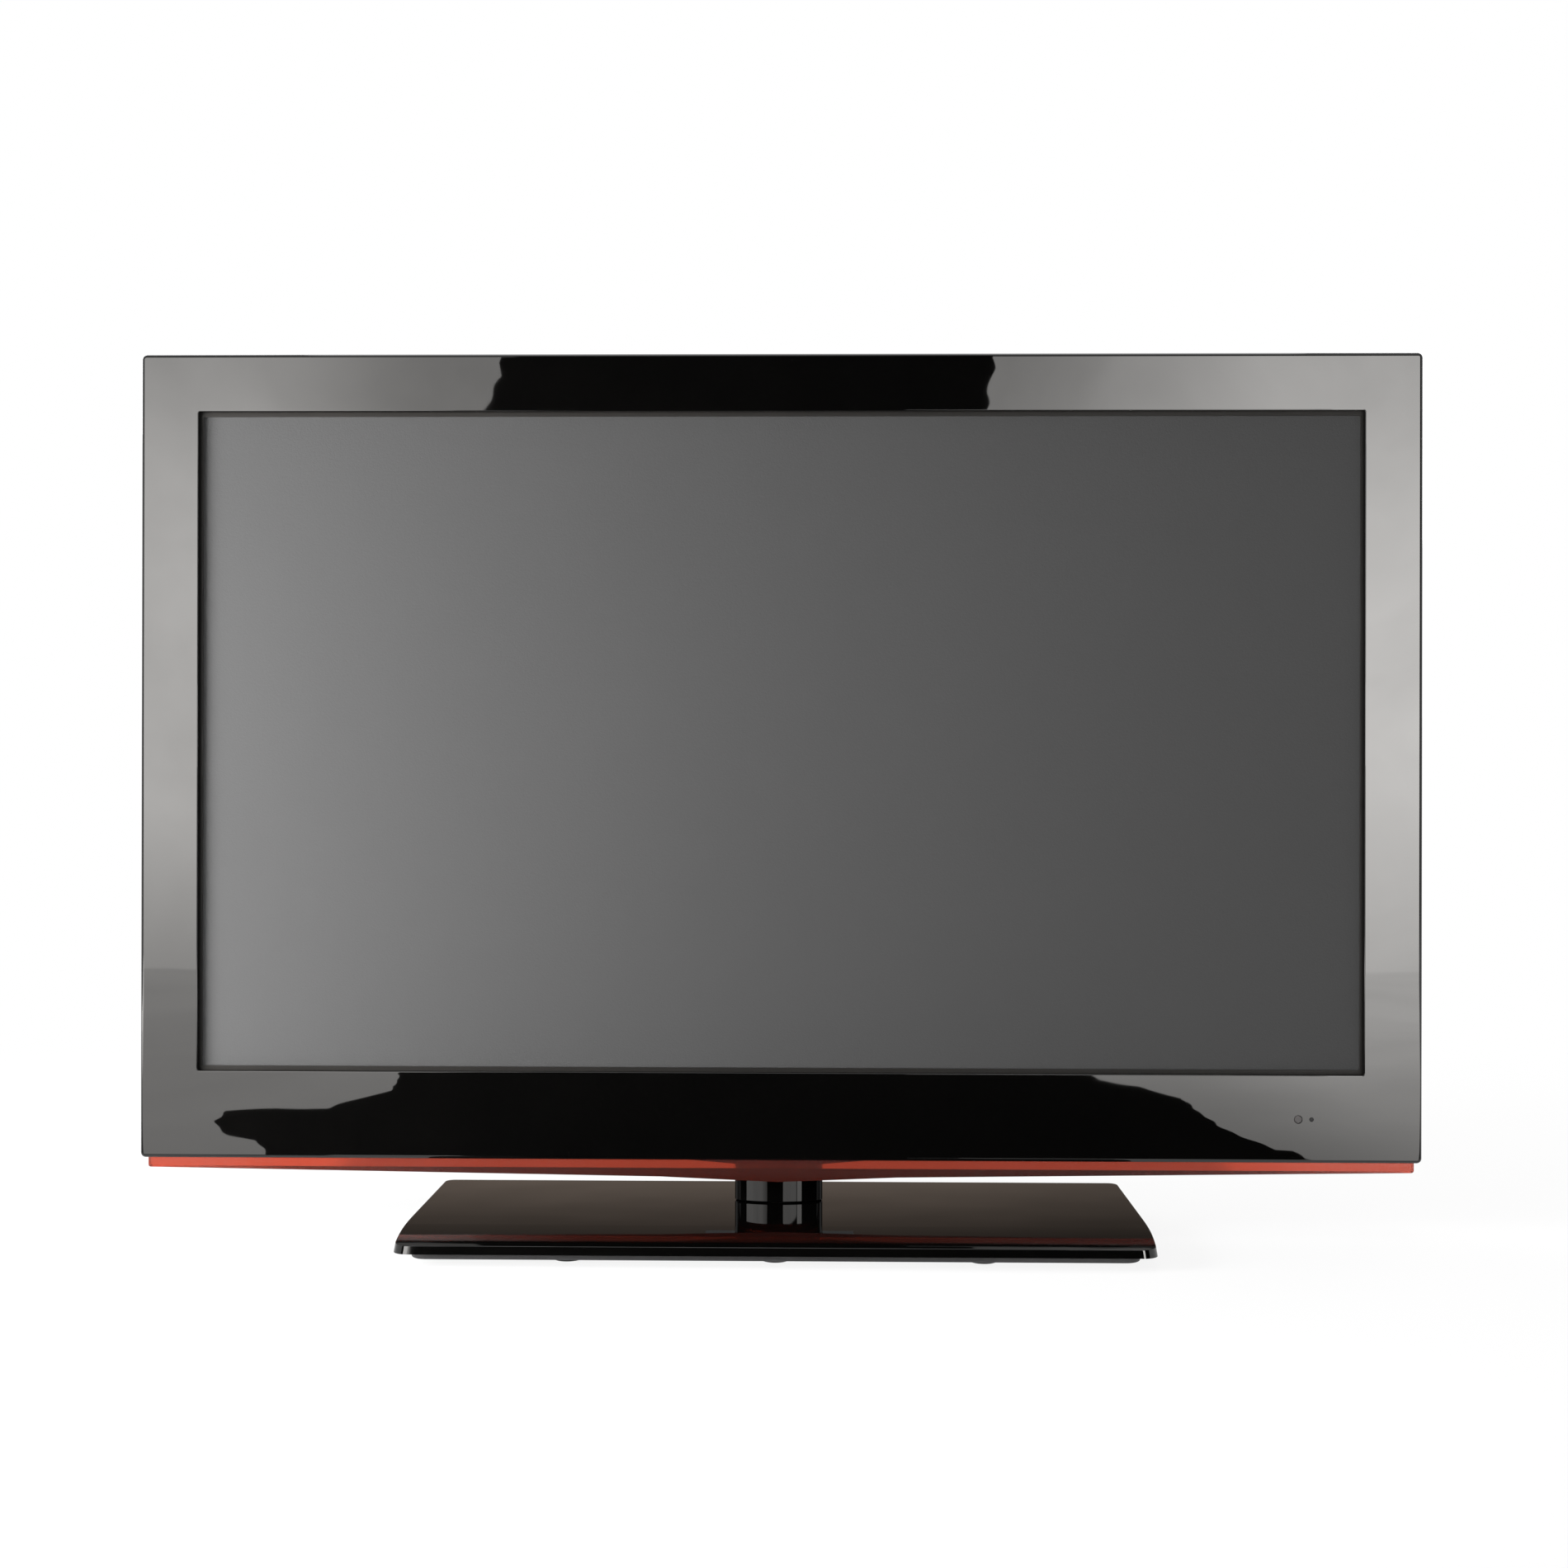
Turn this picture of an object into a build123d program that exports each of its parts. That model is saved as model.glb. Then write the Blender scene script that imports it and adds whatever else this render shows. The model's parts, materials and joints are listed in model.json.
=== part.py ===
from build123d import *
import os
from math import cos, radians, sin

# A flat television on a swivelling stand. X runs to the viewer's right, Y to the back and
# Z up. The origin is on the floor under the middle of the stand's base. Sizes are in mm.

# Whole set
floor_gap = 60.3
set_corner = 4.0
bezel_front = -3.0

# Picture area and the rails round it
active_width = 930.2
active_height = 523.3
reveal_side = 2.7
reveal_top = 3.7
side_rail = 46.2
top_rail = 46.2
bottom_rail = 70.4

# Front bezel
bezel_skin = 3.0
bezel_wall = 2.5
bezel_depth = 28.0
bezel_roll = 2.8
lip_wall = 2.0
lip_depth = 6.0
lip_roll = 0.8
lip_corner = 1.5
keel_half = 90.0
keel_drop = 7.7
rim_boss_side_gap = 5.5
rim_boss_top_gap = 6.0
rim_boss_rise = 15.5
rim_boss_spread = 233.0
rim_boss_pitch = 200.0
rim_boss_count = 5
low_boss_places = (130.0, 470.0)

# Tinted blade along the lower edge
blade_inset = 5.3
blade_setback = 5.0
blade_depth = 10.0
blade_end_drop = 8.2
blade_shoulder = 95.0
blade_shoulder_drop = 14.0
blade_apex_drop = 18.0
blade_corner = 2.0
blade_back_shoulder = 0.01
blade_back_apex = 0.02
blade_pin_radius = 2.0
blade_pin_height = 4.5
blade_pin_pitch = 120.0
blade_pin_count = 8

# Screen module, front to back
module_border = 26.4
module_sheet = 1.0
module_depth = 34.0
aperture_gap = 0.4
front_frame_depth = 18.0
glass_margin = 8.0
glass_thickness = 1.8
screen_corner = 1.5
middle_margin = 2.0
middle_thickness = 3.0
film_margin = 10.0
film_thickness = 0.8
diffuser_thickness = 2.0
flange_overlap = 5.0
reflector_thickness = 0.8
lamp_radius = 1.75
lamp_count = 16
lamp_grip = 8.0
holder_width = 18.0
support_foot = 6.0
support_tip = 1.5
support_columns = 3
support_pitch = 300.0
support_lamp_steps = 10
drive_board_length = 390.0
drive_board_depth = 14.0
drive_board_x = 232.5
drive_board_front = 7.0
drive_board_gap = 0.5

# Circuit boards on the back of the module, as middle x, rise over the screen's middle,
# width and height
board_standoff = 8.0
board_thickness = 1.6
board_corner = 2.0
board_hole_inset = 6.0
standoff_radius = 3.5
power_board_spot = (0.0, 4.0, 340.0, 190.0)
main_board_spot = (-336.0, -104.0, 220.0, 180.0)
lamp_board_spot = (355.0, 4.0, 110.0, 300.0)
timing_board_spot = (0.0, 179.0, 240.0, 70.0)

# Components on the boards: sizes run along X, away from the board and along Z, and places
# run from the middle of the board
big_transformer = (42.0, 26.0, 36.0)
big_transformer_places = [(-60.0, 40.0), (10.0, 40.0)]
small_transformer = (30.0, 22.0, 28.0)
small_transformer_place = (90.0, 40.0)
lamp_transformer = (34.0, 18.0, 30.0)
lamp_transformer_pitch = 70.0
lamp_transformer_count = 4
winding_roll = 2.0
heatsink_plate = (90.0, 28.0, 2.5)
heatsink_fin = (2.0, 28.0, 12.0)
heatsink_fin_pitch = 16.0
heatsink_fin_count = 6
heatsink_pitch = 50.0
heatsink_place = (-10.0, -20.0)
processor = (32.0, 2.5, 32.0)
processor_place = (30.0, 20.0)
processor_sink = (40.0, 3.0, 40.0)
processor_fin = (1.6, 12.0, 40.0)
processor_fin_pitch = 4.5
processor_fin_count = 9
memory_chip = (12.0, 1.5, 20.0)
memory_places = [(70.0, 10.0), (70.0, 36.0)]
small_chip = (14.0, 2.0, 14.0)
small_chip_places = [(-20.0, 60.0), (-30.0, -50.0)]
timing_chip = (24.0, 2.0, 24.0)
driver_chip = (12.0, 1.5, 16.0)
driver_chip_pitch = 100.0

# Rows of capacitors on the power board: first place, pitch and count along X, radius, height
capacitor_rows = [(-120.0, -40.0, 28.0, 3, 11.0, 30.0), (60.0, -55.0, 16.0, 3, 6.0, 20.0),
                  (124.0, 50.0, 18.0, 2, 5.0, 16.0)]

# Rear cover
cover_step = 1.5
cover_wall = 2.5
rim_depth = 20.0
bulge_depth = 47.0
bulge_side_inset = 11.5
bulge_top_inset = 4.1
bulge_bottom_inset = 2.0
bulge_side_slope = 40.0
bulge_top_slope = 80.0
bulge_bottom_slope = 50.0
bulge_corner = 14.0
cover_roll = 4.0
rim_roll = 3.0
tower_margin = 26.0
tower_back_margin = 3.0
tower_top = 170.0
side_notch_span = 190.0
bottom_notch_span = 205.0
inlet_notch_span = 84.0
inlet_x = 282.0
vent_width = 4.0
vent_length = 30.0
vent_pitch = 12.0
vent_count = 60
vent_drop = 42.0
low_vent_count = 28
low_vent_rise = 62.0
grille_width = 2.5
grille_length = 14.0
grille_pitch = 5.0
grille_count = 30

# Wall mounting rails, 400 by 200 pattern with M6 threads
vesa_width = 400.0
vesa_height = 200.0
vesa_hole_radius = 3.0
vesa_boss_radius = 9.0
rail_width = 36.0
rail_length = 320.0
rail_sheet = 3.0
rail_flange = 10.0
rail_corner = 3.0

# Stand base
base_width = 580.0
base_depth = 249.0
base_flare = 1.5
plate_height = 9.2
plate_wall = 3.0
plate_skin = 5.3
plate_roll = 0.7
front_fall = 3.0
front_fall_depth = 64.5
side_tuck = 5.0
tuck_start = -30.0
back_corner = 8.0
front_corner = 12.0
foot_radius = 11.0
foot_height = 4.5
foot_roll = 1.2
foot_pitch = 158.0
foot_front_inset = 37.5
foot_back_inset = 34.5
tray_inset = 11.5
tray_height = 6.3
tray_floor = 1.8
tray_wall = 2.0
tray_roll = 1.5
weight_gap = 0.5
weight_thickness = 2.5
base_screw_x = 250.0
base_screw_inner_x = 120.0
base_screw_y = 85.0
base_boss_radius = 4.5

# Neck
neck_width = 72.0
neck_depth = 55.0
neck_front = 28.0
neck_bow = 9.0
neck_corner = 9.0
neck_wall = 3.0
neck_top = 76.0
neck_split = 70.0
neck_chamfer = 0.8
neck_seam = 0.2
swivel_seam = 0.6
post_radius = 23.0
post_bore = 19.5
post_plate_width = 100.0
post_plate_depth = 46.0
post_plate_thickness = 4.0
post_plate_top = 98.0
lug_size = 10.0
lug_rise = 7.0
head_sink = 1.8
back_lug_bite = 4.0

# Stand bracket between the neck and the module
bracket_width = 180.0
shelf_width = 104.0
bracket_height = 172.0
bracket_sheet = 3.0
bracket_reach = 45.0
gusset_height = 60.0
gusset_screw_rise = 45.0
bracket_hole_inset = 15.0

# Swivel bearing
hub_radius = 24.0
hub_clearance = 1.5
disc_radius = 50.0
disc_thickness = 2.3
washer_thickness = 0.8
washer_inner = 26.0
washer_outer = 40.0
clamp_radius = 60.0
clamp_thickness = 1.5
clamp_bolt_circle = 54.0
clamp_bolts = 4
shoulder_radius = 3.4
swivel_limit = 20.0
stop_circle = 44.0
stop_radius = 2.5

# Remote eye and power lamp, from the set's right edge and the bezel's lower edge
eye_inset = 98.5
lamp_inset = 88.0
eye_rise = 35.0
eye_radius = 3.3
eye_flange = 5.0
led_radius = 1.65
led_flange = 3.0
lens_thickness = 1.5
eye_board_width = 44.0
eye_board_height = 20.0
eye_board_back = 8.0
eye_post_inset = 4.0
lens_recess = 0.2
lens_roll_share = 0.2
lens_stem_share = 0.8
eye_size = 6.0
eye_shoulder = 1.0
led_size = 3.0
led_height = 1.5

# Loudspeakers
speaker_x = 280.0
speaker_width = 180.0
speaker_height = 36.0
speaker_depth = 33.0
speaker_front = 8.0
speaker_rise = 4.7
speaker_wall = 2.0
speaker_roll = 2.0
speaker_lug = 14.0
speaker_lug_thickness = 3.0
speaker_lug_height = 20.0
speaker_lead_drop = 4.0
speaker_lead_inset = 7.0
cone_width = 70.0
cone_depth = 26.0
cone_border = 3.0
cone_frame = 2.0
cone_height = 8.0
cone_slope = 25.0
magnet_radius = 10.9
magnet_height = 14.0

# Side keypad
key_names = ["power", "source", "menu", "channel_up", "channel_down", "volume_up", "volume_down"]
key_rise = 104.0
key_pitch = 24.0
key_length = 13.0
key_width = 6.5
key_proud = 1.2
key_travel = 0.6
key_flange = 1.5
key_flange_margin = 1.8
key_stem_radius = 2.0
key_stem = 2.0
key_board_width = 15.0
key_switch_size = 6.0
key_switch_height = 3.5
key_corner = 1.2
key_post_margin = 1.0

# Sockets
hdmi_count = 3
hdmi_pitch = 30.0
hdmi_body = (15.6, 6.6, 14.0)
hdmi_mouth = (14.0, 4.7, 10.0)
hdmi_tongue = (10.0, 1.2, 8.0)
jack_pitch = 16.0
jack_block = 12.0
jack_barrel_radius = 4.15
jack_barrel_length = 9.0
jack_hole_radius = 1.7
side_jack_count = 3
bottom_jack_count = 5
side_jack_gap = 7.0
bottom_jack_gap = 6.0
hdmi_rise = 38.0
side_jack_drop = 54.0
component_x = 55.0
tuner_x = 172.0
inlet_y = 60.0
plate_sheet = 0.8
tuner_size = (38.0, 15.0, 62.0)
aerial_radius = 4.76
aerial_bore = 2.0
aerial_length = 11.0
inlet_body = (27.4, 20.0, 26.0)
inlet_cavity = (24.2, 16.2, 21.0)
inlet_flange = (50.0, 24.0, 2.5)
inlet_pin = (2.0, 4.0, 15.0)
inlet_pin_pitch = 7.0
inlet_pin_offset = 2.0
inlet_screw_x = 20.0

# Fasteners, wires and fits
m4_radius = 2.0
m4_head_radius = 3.8
m4_head_height = 2.0
m3_radius = 1.5
m3_head_radius = 2.8
m3_head_height = 1.6
m3_thread = 6.0
screw_tip_gap = 1.0
cross_length = 1.2
cross_width = 0.24
boss_radius = 4.5
wire_radius = 1.5
wire_bend = 12.0
connector_size = (10.0, 8.0, 12.0)
connector_run = 12.0
speaker_lead_rise = -30.0
second_lead_rise = -12.0
main_lead_rise = -44.0
lamp_lead_rise = 54.0
mains_lead_rise = -51.0
wire_hump = 4.0
ribbon_connector = (24.0, 2.0, 6.0)
ribbon_x_offset = 36.0
ribbon_width = 20.0
ribbon_thickness = 0.6
overcut = 1.0
near = 1.0
fit_gap = 0.3
screw_gap = 0.2
running_gap = 0.1
hub_gap = 0.06

# Places worked out from the sizes above
opening_width = active_width + 2 * reveal_side
opening_height = active_height + 2 * reveal_top
set_width = opening_width + 2 * side_rail
set_height = opening_height + top_rail + bottom_rail
set_mid = floor_gap + set_height / 2
screen_mid = floor_gap + bottom_rail + opening_height / 2
skin_back = bezel_front + bezel_skin
cover_front = bezel_front + bezel_depth
module_width = active_width + 2 * module_border
module_height = active_height + 2 * module_border
module_low = screen_mid - module_height / 2
module_high = screen_mid + module_height / 2
module_front = bezel_front + lip_depth
glass_front = module_front + module_sheet
middle_front = glass_front + glass_thickness
film_front = middle_front + middle_thickness
diffuser_front = film_front + film_thickness
tray_front = diffuser_front + diffuser_thickness
tray_back = module_front + module_depth
reflector_front = tray_back - module_sheet - reflector_thickness
lamp_y = (tray_front + reflector_front) / 2
lamp_pitch = active_height / lamp_count
board_front = tray_back + board_standoff
board_back = board_front + board_thickness
rim_back = cover_front + rim_depth
rear_face = rim_back + bulge_depth
cover_low = floor_gap + cover_step
bulge_low = module_low + bulge_bottom_inset
bulge_high = module_high - bulge_top_inset
tray_low = foot_height
plate_low = tray_low + tray_height
base_top = plate_low + plate_height
weight_low = tray_low + tray_floor
weight_top = weight_low + weight_thickness
plate_ceiling = base_top - plate_skin
swivel_y = neck_front + neck_depth / 2
neck_low = base_top + swivel_seam
blade_front = bezel_front + blade_setback


def upright(y):
    """Sketch plane that faces the viewer at depth y: local x is X and local y is Z."""
    return Plane.XZ.offset(-y)


def panel(width, height, mid_z, front, thickness, radius=0.0, mid_x=0.0, mode=Mode.ADD):
    """A panel that faces the viewer, grown backwards from its front face."""
    with BuildSketch(upright(front)) as outline:
        with Locations((mid_x, mid_z)):
            if radius > 0:
                RectangleRounded(width, height, radius)
            else:
                Rectangle(width, height)
    extrude(outline.sketch, amount=-thickness, mode=mode)


def pegs(places, front, length, radius, mode=Mode.ADD):
    """Round pegs or holes that run backwards from depth front, at (x, z) places."""
    with BuildSketch(upright(front)) as circles:
        with Locations(*places):
            Circle(radius)
    extrude(circles.sketch, amount=-length, mode=mode)


def columns(places, low, length, radius, mode=Mode.ADD):
    """Upright round columns or holes from height low, at (x, y) places."""
    with BuildSketch(Plane.XY.offset(low)) as circles:
        with Locations(*places):
            Circle(radius)
    extrude(circles.sketch, amount=length, mode=mode)


def screws(places, outward, radius, length, head_radius, head_height):
    """Cross-head screws: each place is under the head, and outward is the way it faces."""
    for place in places:
        seat = Plane(origin=place, z_dir=outward)
        with BuildSketch(seat) as head:
            Circle(head_radius)
        extrude(head.sketch, amount=head_height)
        with BuildSketch(seat) as shank:
            Circle(radius)
        extrude(shank.sketch, amount=-length)
        with BuildSketch(seat.offset(head_height)) as cross:
            Rectangle(head_radius * cross_length, head_radius * cross_width)
            Rectangle(head_radius * cross_width, head_radius * cross_length)
        extrude(cross.sketch, amount=-head_height / 2, mode=Mode.SUBTRACT)


def keep(piece, name):
    """Label a finished piece and write it to its own file."""
    piece.part.label = name
    export_step(piece.part, f"parts/{name}.step")


os.makedirs("parts", exist_ok=True)


# Stand base

def base_outline(height, inset=0.0):
    """The base seen from above: sides drawn in a little towards the front corners."""
    half_width = base_width / 2 - inset
    half_depth = base_depth / 2 - inset
    with BuildSketch(Plane.XY.offset(height)) as outline:
        with BuildLine():
            back = Line((0, half_depth), (half_width, half_depth))
            side = Line(back @ 1, (half_width, tuck_start))
            tuck = TangentArc(side @ 1, (half_width - side_tuck, -half_depth), tangent=side % 1)
            Line(tuck @ 1, (0, -half_depth))
            mirror(about=Plane.YZ)
        make_face()
        for row, radius in ((-1, back_corner), (0, front_corner)):
            corners = outline.vertices().filter_by(lambda v: abs(v.X) > half_width / 2)
            fillet(corners.group_by(Axis.Y)[row], radius)
    return outline.sketch


foot_places = [(x, y) for x in (-foot_pitch, 0, foot_pitch)
               for y in (-base_depth / 2 + foot_front_inset, base_depth / 2 - foot_back_inset)]
base_screw_places = [(side * x, y) for side in (-1, 1) for x in (base_screw_inner_x, base_screw_x)
                     for y in (-base_screw_y, base_screw_y)]
clamp_places = [(clamp_bolt_circle * cos(radians(45 + 360 / clamp_bolts * i)),
                 swivel_y + clamp_bolt_circle * sin(radians(45 + 360 / clamp_bolts * i)))
                for i in range(clamp_bolts)]

with BuildPart() as base_feet:
    columns(foot_places, 0, foot_height, foot_radius)
    fillet(base_feet.edges().group_by(Axis.Z)[0], foot_roll)
keep(base_feet, "base_feet")

with BuildPart() as base_tray:
    extrude(base_outline(tray_low, tray_inset), amount=tray_height)
    fillet(base_tray.edges().group_by(Axis.Z)[0], tray_roll)
    extrude(base_outline(weight_low, tray_inset + tray_wall), amount=tray_height, mode=Mode.SUBTRACT)
    columns(base_screw_places, tray_low, tray_floor, m4_radius + screw_gap, Mode.SUBTRACT)
keep(base_tray, "base_tray")

with BuildPart() as base_weight_plate:
    extrude(base_outline(weight_low, tray_inset + tray_wall + weight_gap), amount=weight_thickness)
    columns(base_screw_places, weight_low, weight_thickness, m4_radius + screw_gap, Mode.SUBTRACT)
    columns(clamp_places, weight_low, weight_thickness, m4_radius + screw_gap / 2, Mode.SUBTRACT)
keep(base_weight_plate, "base_weight_plate")

with BuildPart() as base_top_cover:
    loft([base_outline(plate_low), base_outline(base_top, base_flare)], ruled=True)
    base_front = -base_depth / 2
    with BuildSketch(Plane.YZ.offset(-base_width / 2)) as fall:
        with BuildLine():
            level = Line((base_front + front_fall_depth, base_top + front_fall),
                         (base_front + front_fall_depth, base_top))
            bend = TangentArc(level @ 1, (base_front - base_flare, base_top - front_fall), tangent=(-1, 0))
            Polyline(bend @ 1, (base_front - base_flare, base_top + front_fall), level @ 0)
        make_face()
    extrude(fall.sketch, amount=base_width, mode=Mode.SUBTRACT)
    rim_edges = base_top_cover.edges().filter_by(
        lambda e: e.center().Z > base_top - front_fall - fit_gap
        and (abs(e.center().X) > base_width / 4 or abs(e.center().Y) > base_depth / 2 - back_corner))
    fillet(rim_edges, plate_roll)
    extrude(base_outline(plate_low, base_flare + plate_wall), amount=plate_ceiling - plate_low,
            mode=Mode.SUBTRACT)
    columns(base_screw_places, weight_top, plate_ceiling - weight_top, base_boss_radius)
    columns(base_screw_places, weight_top, plate_ceiling - weight_top, m4_radius, Mode.SUBTRACT)
    columns([(0, swivel_y)], plate_low, plate_height + overcut, hub_radius + hub_clearance, Mode.SUBTRACT)
keep(base_top_cover, "base_top_cover")

with BuildPart() as base_screws:
    screw_length = plate_ceiling - tray_low - screw_tip_gap
    screws([(x, y, tray_low) for x, y in base_screw_places], (0, 0, -1), m4_radius - screw_gap / 4,
           screw_length, m4_head_radius, m4_head_height)
keep(base_screws, "base_screws")

# Swivel bearing, from the weight plate upwards

washer_low = weight_top
disc_low = washer_low + washer_thickness + running_gap
disc_top = disc_low + disc_thickness
upper_washer_low = disc_top + running_gap
clamp_low = upper_washer_low + washer_thickness
clamp_top = clamp_low + clamp_thickness
centre = [(0, swivel_y)]


with BuildPart() as swivel_washers:
    for low in (washer_low, upper_washer_low):
        columns(centre, low, washer_thickness, washer_outer)
        columns(centre, low, washer_thickness, washer_inner, Mode.SUBTRACT)
keep(swivel_washers, "swivel_washers")

with BuildPart() as swivel_clamp_plate:
    columns(centre, clamp_low, clamp_thickness, clamp_radius)
    columns(centre, clamp_low, clamp_thickness, hub_radius + hub_gap, Mode.SUBTRACT)
    columns(clamp_places, clamp_low, clamp_thickness, m4_radius + screw_gap / 2, Mode.SUBTRACT)
    with BuildSketch(Plane.XY.offset(clamp_low)) as stop_slot:
        with BuildLine() as slot_path:
            CenterArc((0, swivel_y), stop_circle, -90 - swivel_limit, 2 * swivel_limit)
        SlotArc(slot_path.edge(), 2 * (stop_radius + fit_gap))
    extrude(stop_slot.sketch, amount=clamp_thickness, mode=Mode.SUBTRACT)
keep(swivel_clamp_plate, "swivel_clamp_plate")

with BuildPart() as swivel_rivets:
    columns(clamp_places, weight_low, clamp_top - weight_low, m4_radius)
    columns(clamp_places, weight_top, clamp_low - weight_top, shoulder_radius)
keep(swivel_rivets, "swivel_rivets")

with BuildPart() as swivel_disc:
    columns(centre, disc_low, disc_thickness, disc_radius)
    columns(centre, disc_top, neck_low - disc_top, hub_radius)
    stop_place = [(0, swivel_y - stop_circle)]
    columns(stop_place, disc_top, clamp_top - running_gap - disc_top, stop_radius)
keep(swivel_disc, "swivel_disc")


# Neck

def neck_outline(height, grow=0.0):
    """The neck seen from above, with its bowed front."""
    half = neck_width / 2 + grow
    back = neck_front + neck_depth + grow
    with BuildSketch(Plane.XY.offset(height)) as outline:
        with BuildLine():
            shoulder = neck_front + neck_bow
            bow = ThreePointArc((-half, shoulder), (0, neck_front - grow), (half, shoulder))
            Polyline(bow @ 1, (half, back), (-half, back), bow @ 0)
        make_face()
        fillet(outline.vertices(), neck_corner + grow)
    return outline.sketch


post_top = post_plate_top - post_plate_thickness
lug_low = neck_low + lug_rise - lug_size / 2
lug_face = neck_width / 2 - neck_wall
neck_back = neck_front + neck_depth
back_lug_face = neck_back - neck_wall

with BuildPart() as neck_post:
    columns(centre, neck_low, post_top - neck_low, post_radius)
    with Locations((0, swivel_y, lug_low)):
        Box(2 * lug_face, lug_size, lug_size, align=(Align.CENTER, Align.CENTER, Align.MIN))
    with Locations((0, swivel_y, lug_low)):
        Box(lug_size, back_lug_face - swivel_y, lug_size, align=(Align.CENTER, Align.MIN, Align.MIN))
    with Locations((0, swivel_y, post_top)):
        Box(post_plate_width, post_plate_depth, post_plate_thickness,
            align=(Align.CENTER, Align.CENTER, Align.MIN))
    columns(centre, neck_low, post_plate_top - neck_low, post_bore, Mode.SUBTRACT)
    plate_hole_x = post_plate_width / 2 - lug_size
    plate_hole_y = post_plate_depth / 2 - lug_size
    plate_places = [(x, swivel_y + y) for x in (-plate_hole_x, plate_hole_x)
                    for y in (-plate_hole_y, plate_hole_y)]
    columns(plate_places, post_top, post_plate_thickness, m4_radius + screw_gap, Mode.SUBTRACT)
    lug_mid = lug_low + lug_size / 2
    for side in (-1, 1):
        with Locations(Plane(origin=(side * lug_face, swivel_y, lug_mid), z_dir=(-side, 0, 0))):
            Cylinder(m3_radius, lug_size, align=(Align.CENTER, Align.CENTER, Align.MIN), mode=Mode.SUBTRACT)
    with Locations(Plane(origin=(0, back_lug_face, lug_mid), z_dir=(0, -1, 0))):
        Cylinder(m3_radius, lug_size / 2, align=(Align.CENTER, Align.CENTER, Align.MIN), mode=Mode.SUBTRACT)
keep(neck_post, "neck_post")


neck_head_x = neck_width / 2 - head_sink
neck_screw_seats = [Plane(origin=(side * neck_head_x, swivel_y, lug_mid), z_dir=(side, 0, 0))
                    for side in (-1, 1)]
neck_screw_seats.append(Plane(origin=(0, neck_back - head_sink, lug_mid), z_dir=(0, 1, 0)))


def neck_half(front_side):
    """One half of the neck's shell: the bowed front, or the flat back."""
    with BuildPart() as half:
        extrude(neck_outline(neck_low), amount=neck_top - neck_low)
        chamfer(half.edges().group_by(Axis.Z)[0], neck_chamfer)
        extrude(neck_outline(neck_low, -neck_wall), amount=neck_top - neck_low, mode=Mode.SUBTRACT)
        for seat in neck_screw_seats:
            with Locations(seat):
                Cylinder(m3_radius + screw_gap, 2 * neck_wall, mode=Mode.SUBTRACT)
                Cylinder(m3_head_radius + screw_gap, head_sink, mode=Mode.SUBTRACT,
                         align=(Align.CENTER, Align.CENTER, Align.MIN))
        if front_side:
            split(bisect_by=upright(neck_split - neck_seam / 2), keep=Keep.TOP)
        else:
            split(bisect_by=upright(neck_split + neck_seam / 2), keep=Keep.BOTTOM)
    return half


keep(neck_half(True), "neck_cover_front")
keep(neck_half(False), "neck_cover_rear")

with BuildPart() as stand_bracket:
    bracket_low = post_plate_top
    panel(bracket_width, bracket_height, bracket_low + bracket_height / 2, tray_back, bracket_sheet)
    with Locations((0, tray_back, bracket_low)):
        Box(shelf_width, bracket_reach, bracket_sheet, align=(Align.CENTER, Align.MIN, Align.MIN))
    with BuildSketch(Plane.YZ) as gusset:
        with BuildLine():
            Polyline((tray_back, bracket_low), (tray_back + bracket_reach, bracket_low),
                     (tray_back, bracket_low + gusset_height), close=True)
        make_face()
    for edge in (-shelf_width / 2, shelf_width / 2 - bracket_sheet):
        extrude(gusset.sketch.moved(Location((edge, 0, 0))), amount=bracket_sheet)
    columns([(x, y) for x, y in plate_places if y > tray_back + bracket_sheet], bracket_low, bracket_sheet,
            m4_radius, Mode.SUBTRACT)
    bracket_hole_x = bracket_width / 2 - bracket_hole_inset
    bracket_places = [(x, bracket_low + z) for x in (-bracket_hole_x, 0, bracket_hole_x)
                      for z in (gusset_screw_rise, bracket_height - lug_size)]
    pegs(bracket_places, tray_back, bracket_sheet, m4_radius + screw_gap, Mode.SUBTRACT)
keep(stand_bracket, "stand_bracket")

with BuildPart() as stand_screws:
    slim_m4 = m4_radius - screw_gap / 4
    screws([(x, y, post_top) for x, y in plate_places if y > tray_back + bracket_sheet], (0, 0, -1),
           slim_m4, post_plate_thickness + bracket_sheet, m4_head_radius, m4_head_height)
    screws([(x, tray_back + bracket_sheet, z) for x, z in bracket_places], (0, 1, 0),
           slim_m4, bracket_sheet + module_sheet, m4_head_radius, m4_head_height)
keep(stand_screws, "stand_screws")


# Front bezel and the blade below it

rim_x = module_width / 2 + rim_boss_side_gap + boss_radius
rim_high = module_high + rim_boss_top_gap + boss_radius
rim_places = ([(side * rim_x, set_mid + step * rim_boss_spread) for side in (-1, 1) for step in (-1, 0, 1)]
              + [((i - (rim_boss_count - 1) / 2) * rim_boss_pitch, rim_high) for i in range(rim_boss_count)]
              + [(side * x, floor_gap + rim_boss_rise) for side in (-1, 1) for x in low_boss_places])
eye_x = set_width / 2 - eye_inset
led_x = set_width / 2 - lamp_inset
eye_z = floor_gap + eye_rise
eye_board_x = (eye_x + led_x) / 2
eye_post_places = [(eye_board_x + side * (eye_board_width / 2 - eye_post_inset), eye_z) for side in (-1, 1)]
blade_pin_places = [((i - (blade_pin_count - 1) / 2) * blade_pin_pitch, blade_front + blade_depth / 2)
                    for i in range(blade_pin_count)]
speaker_low = floor_gap + speaker_rise
speaker_mid = speaker_low + speaker_height / 2
speaker_post_places = [(side * (speaker_x + end * (speaker_width + speaker_lug) / 2), speaker_mid)
                       for side in (-1, 1) for end in (-1, 1)]
speaker_lug_front = speaker_front + speaker_depth / 2

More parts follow.
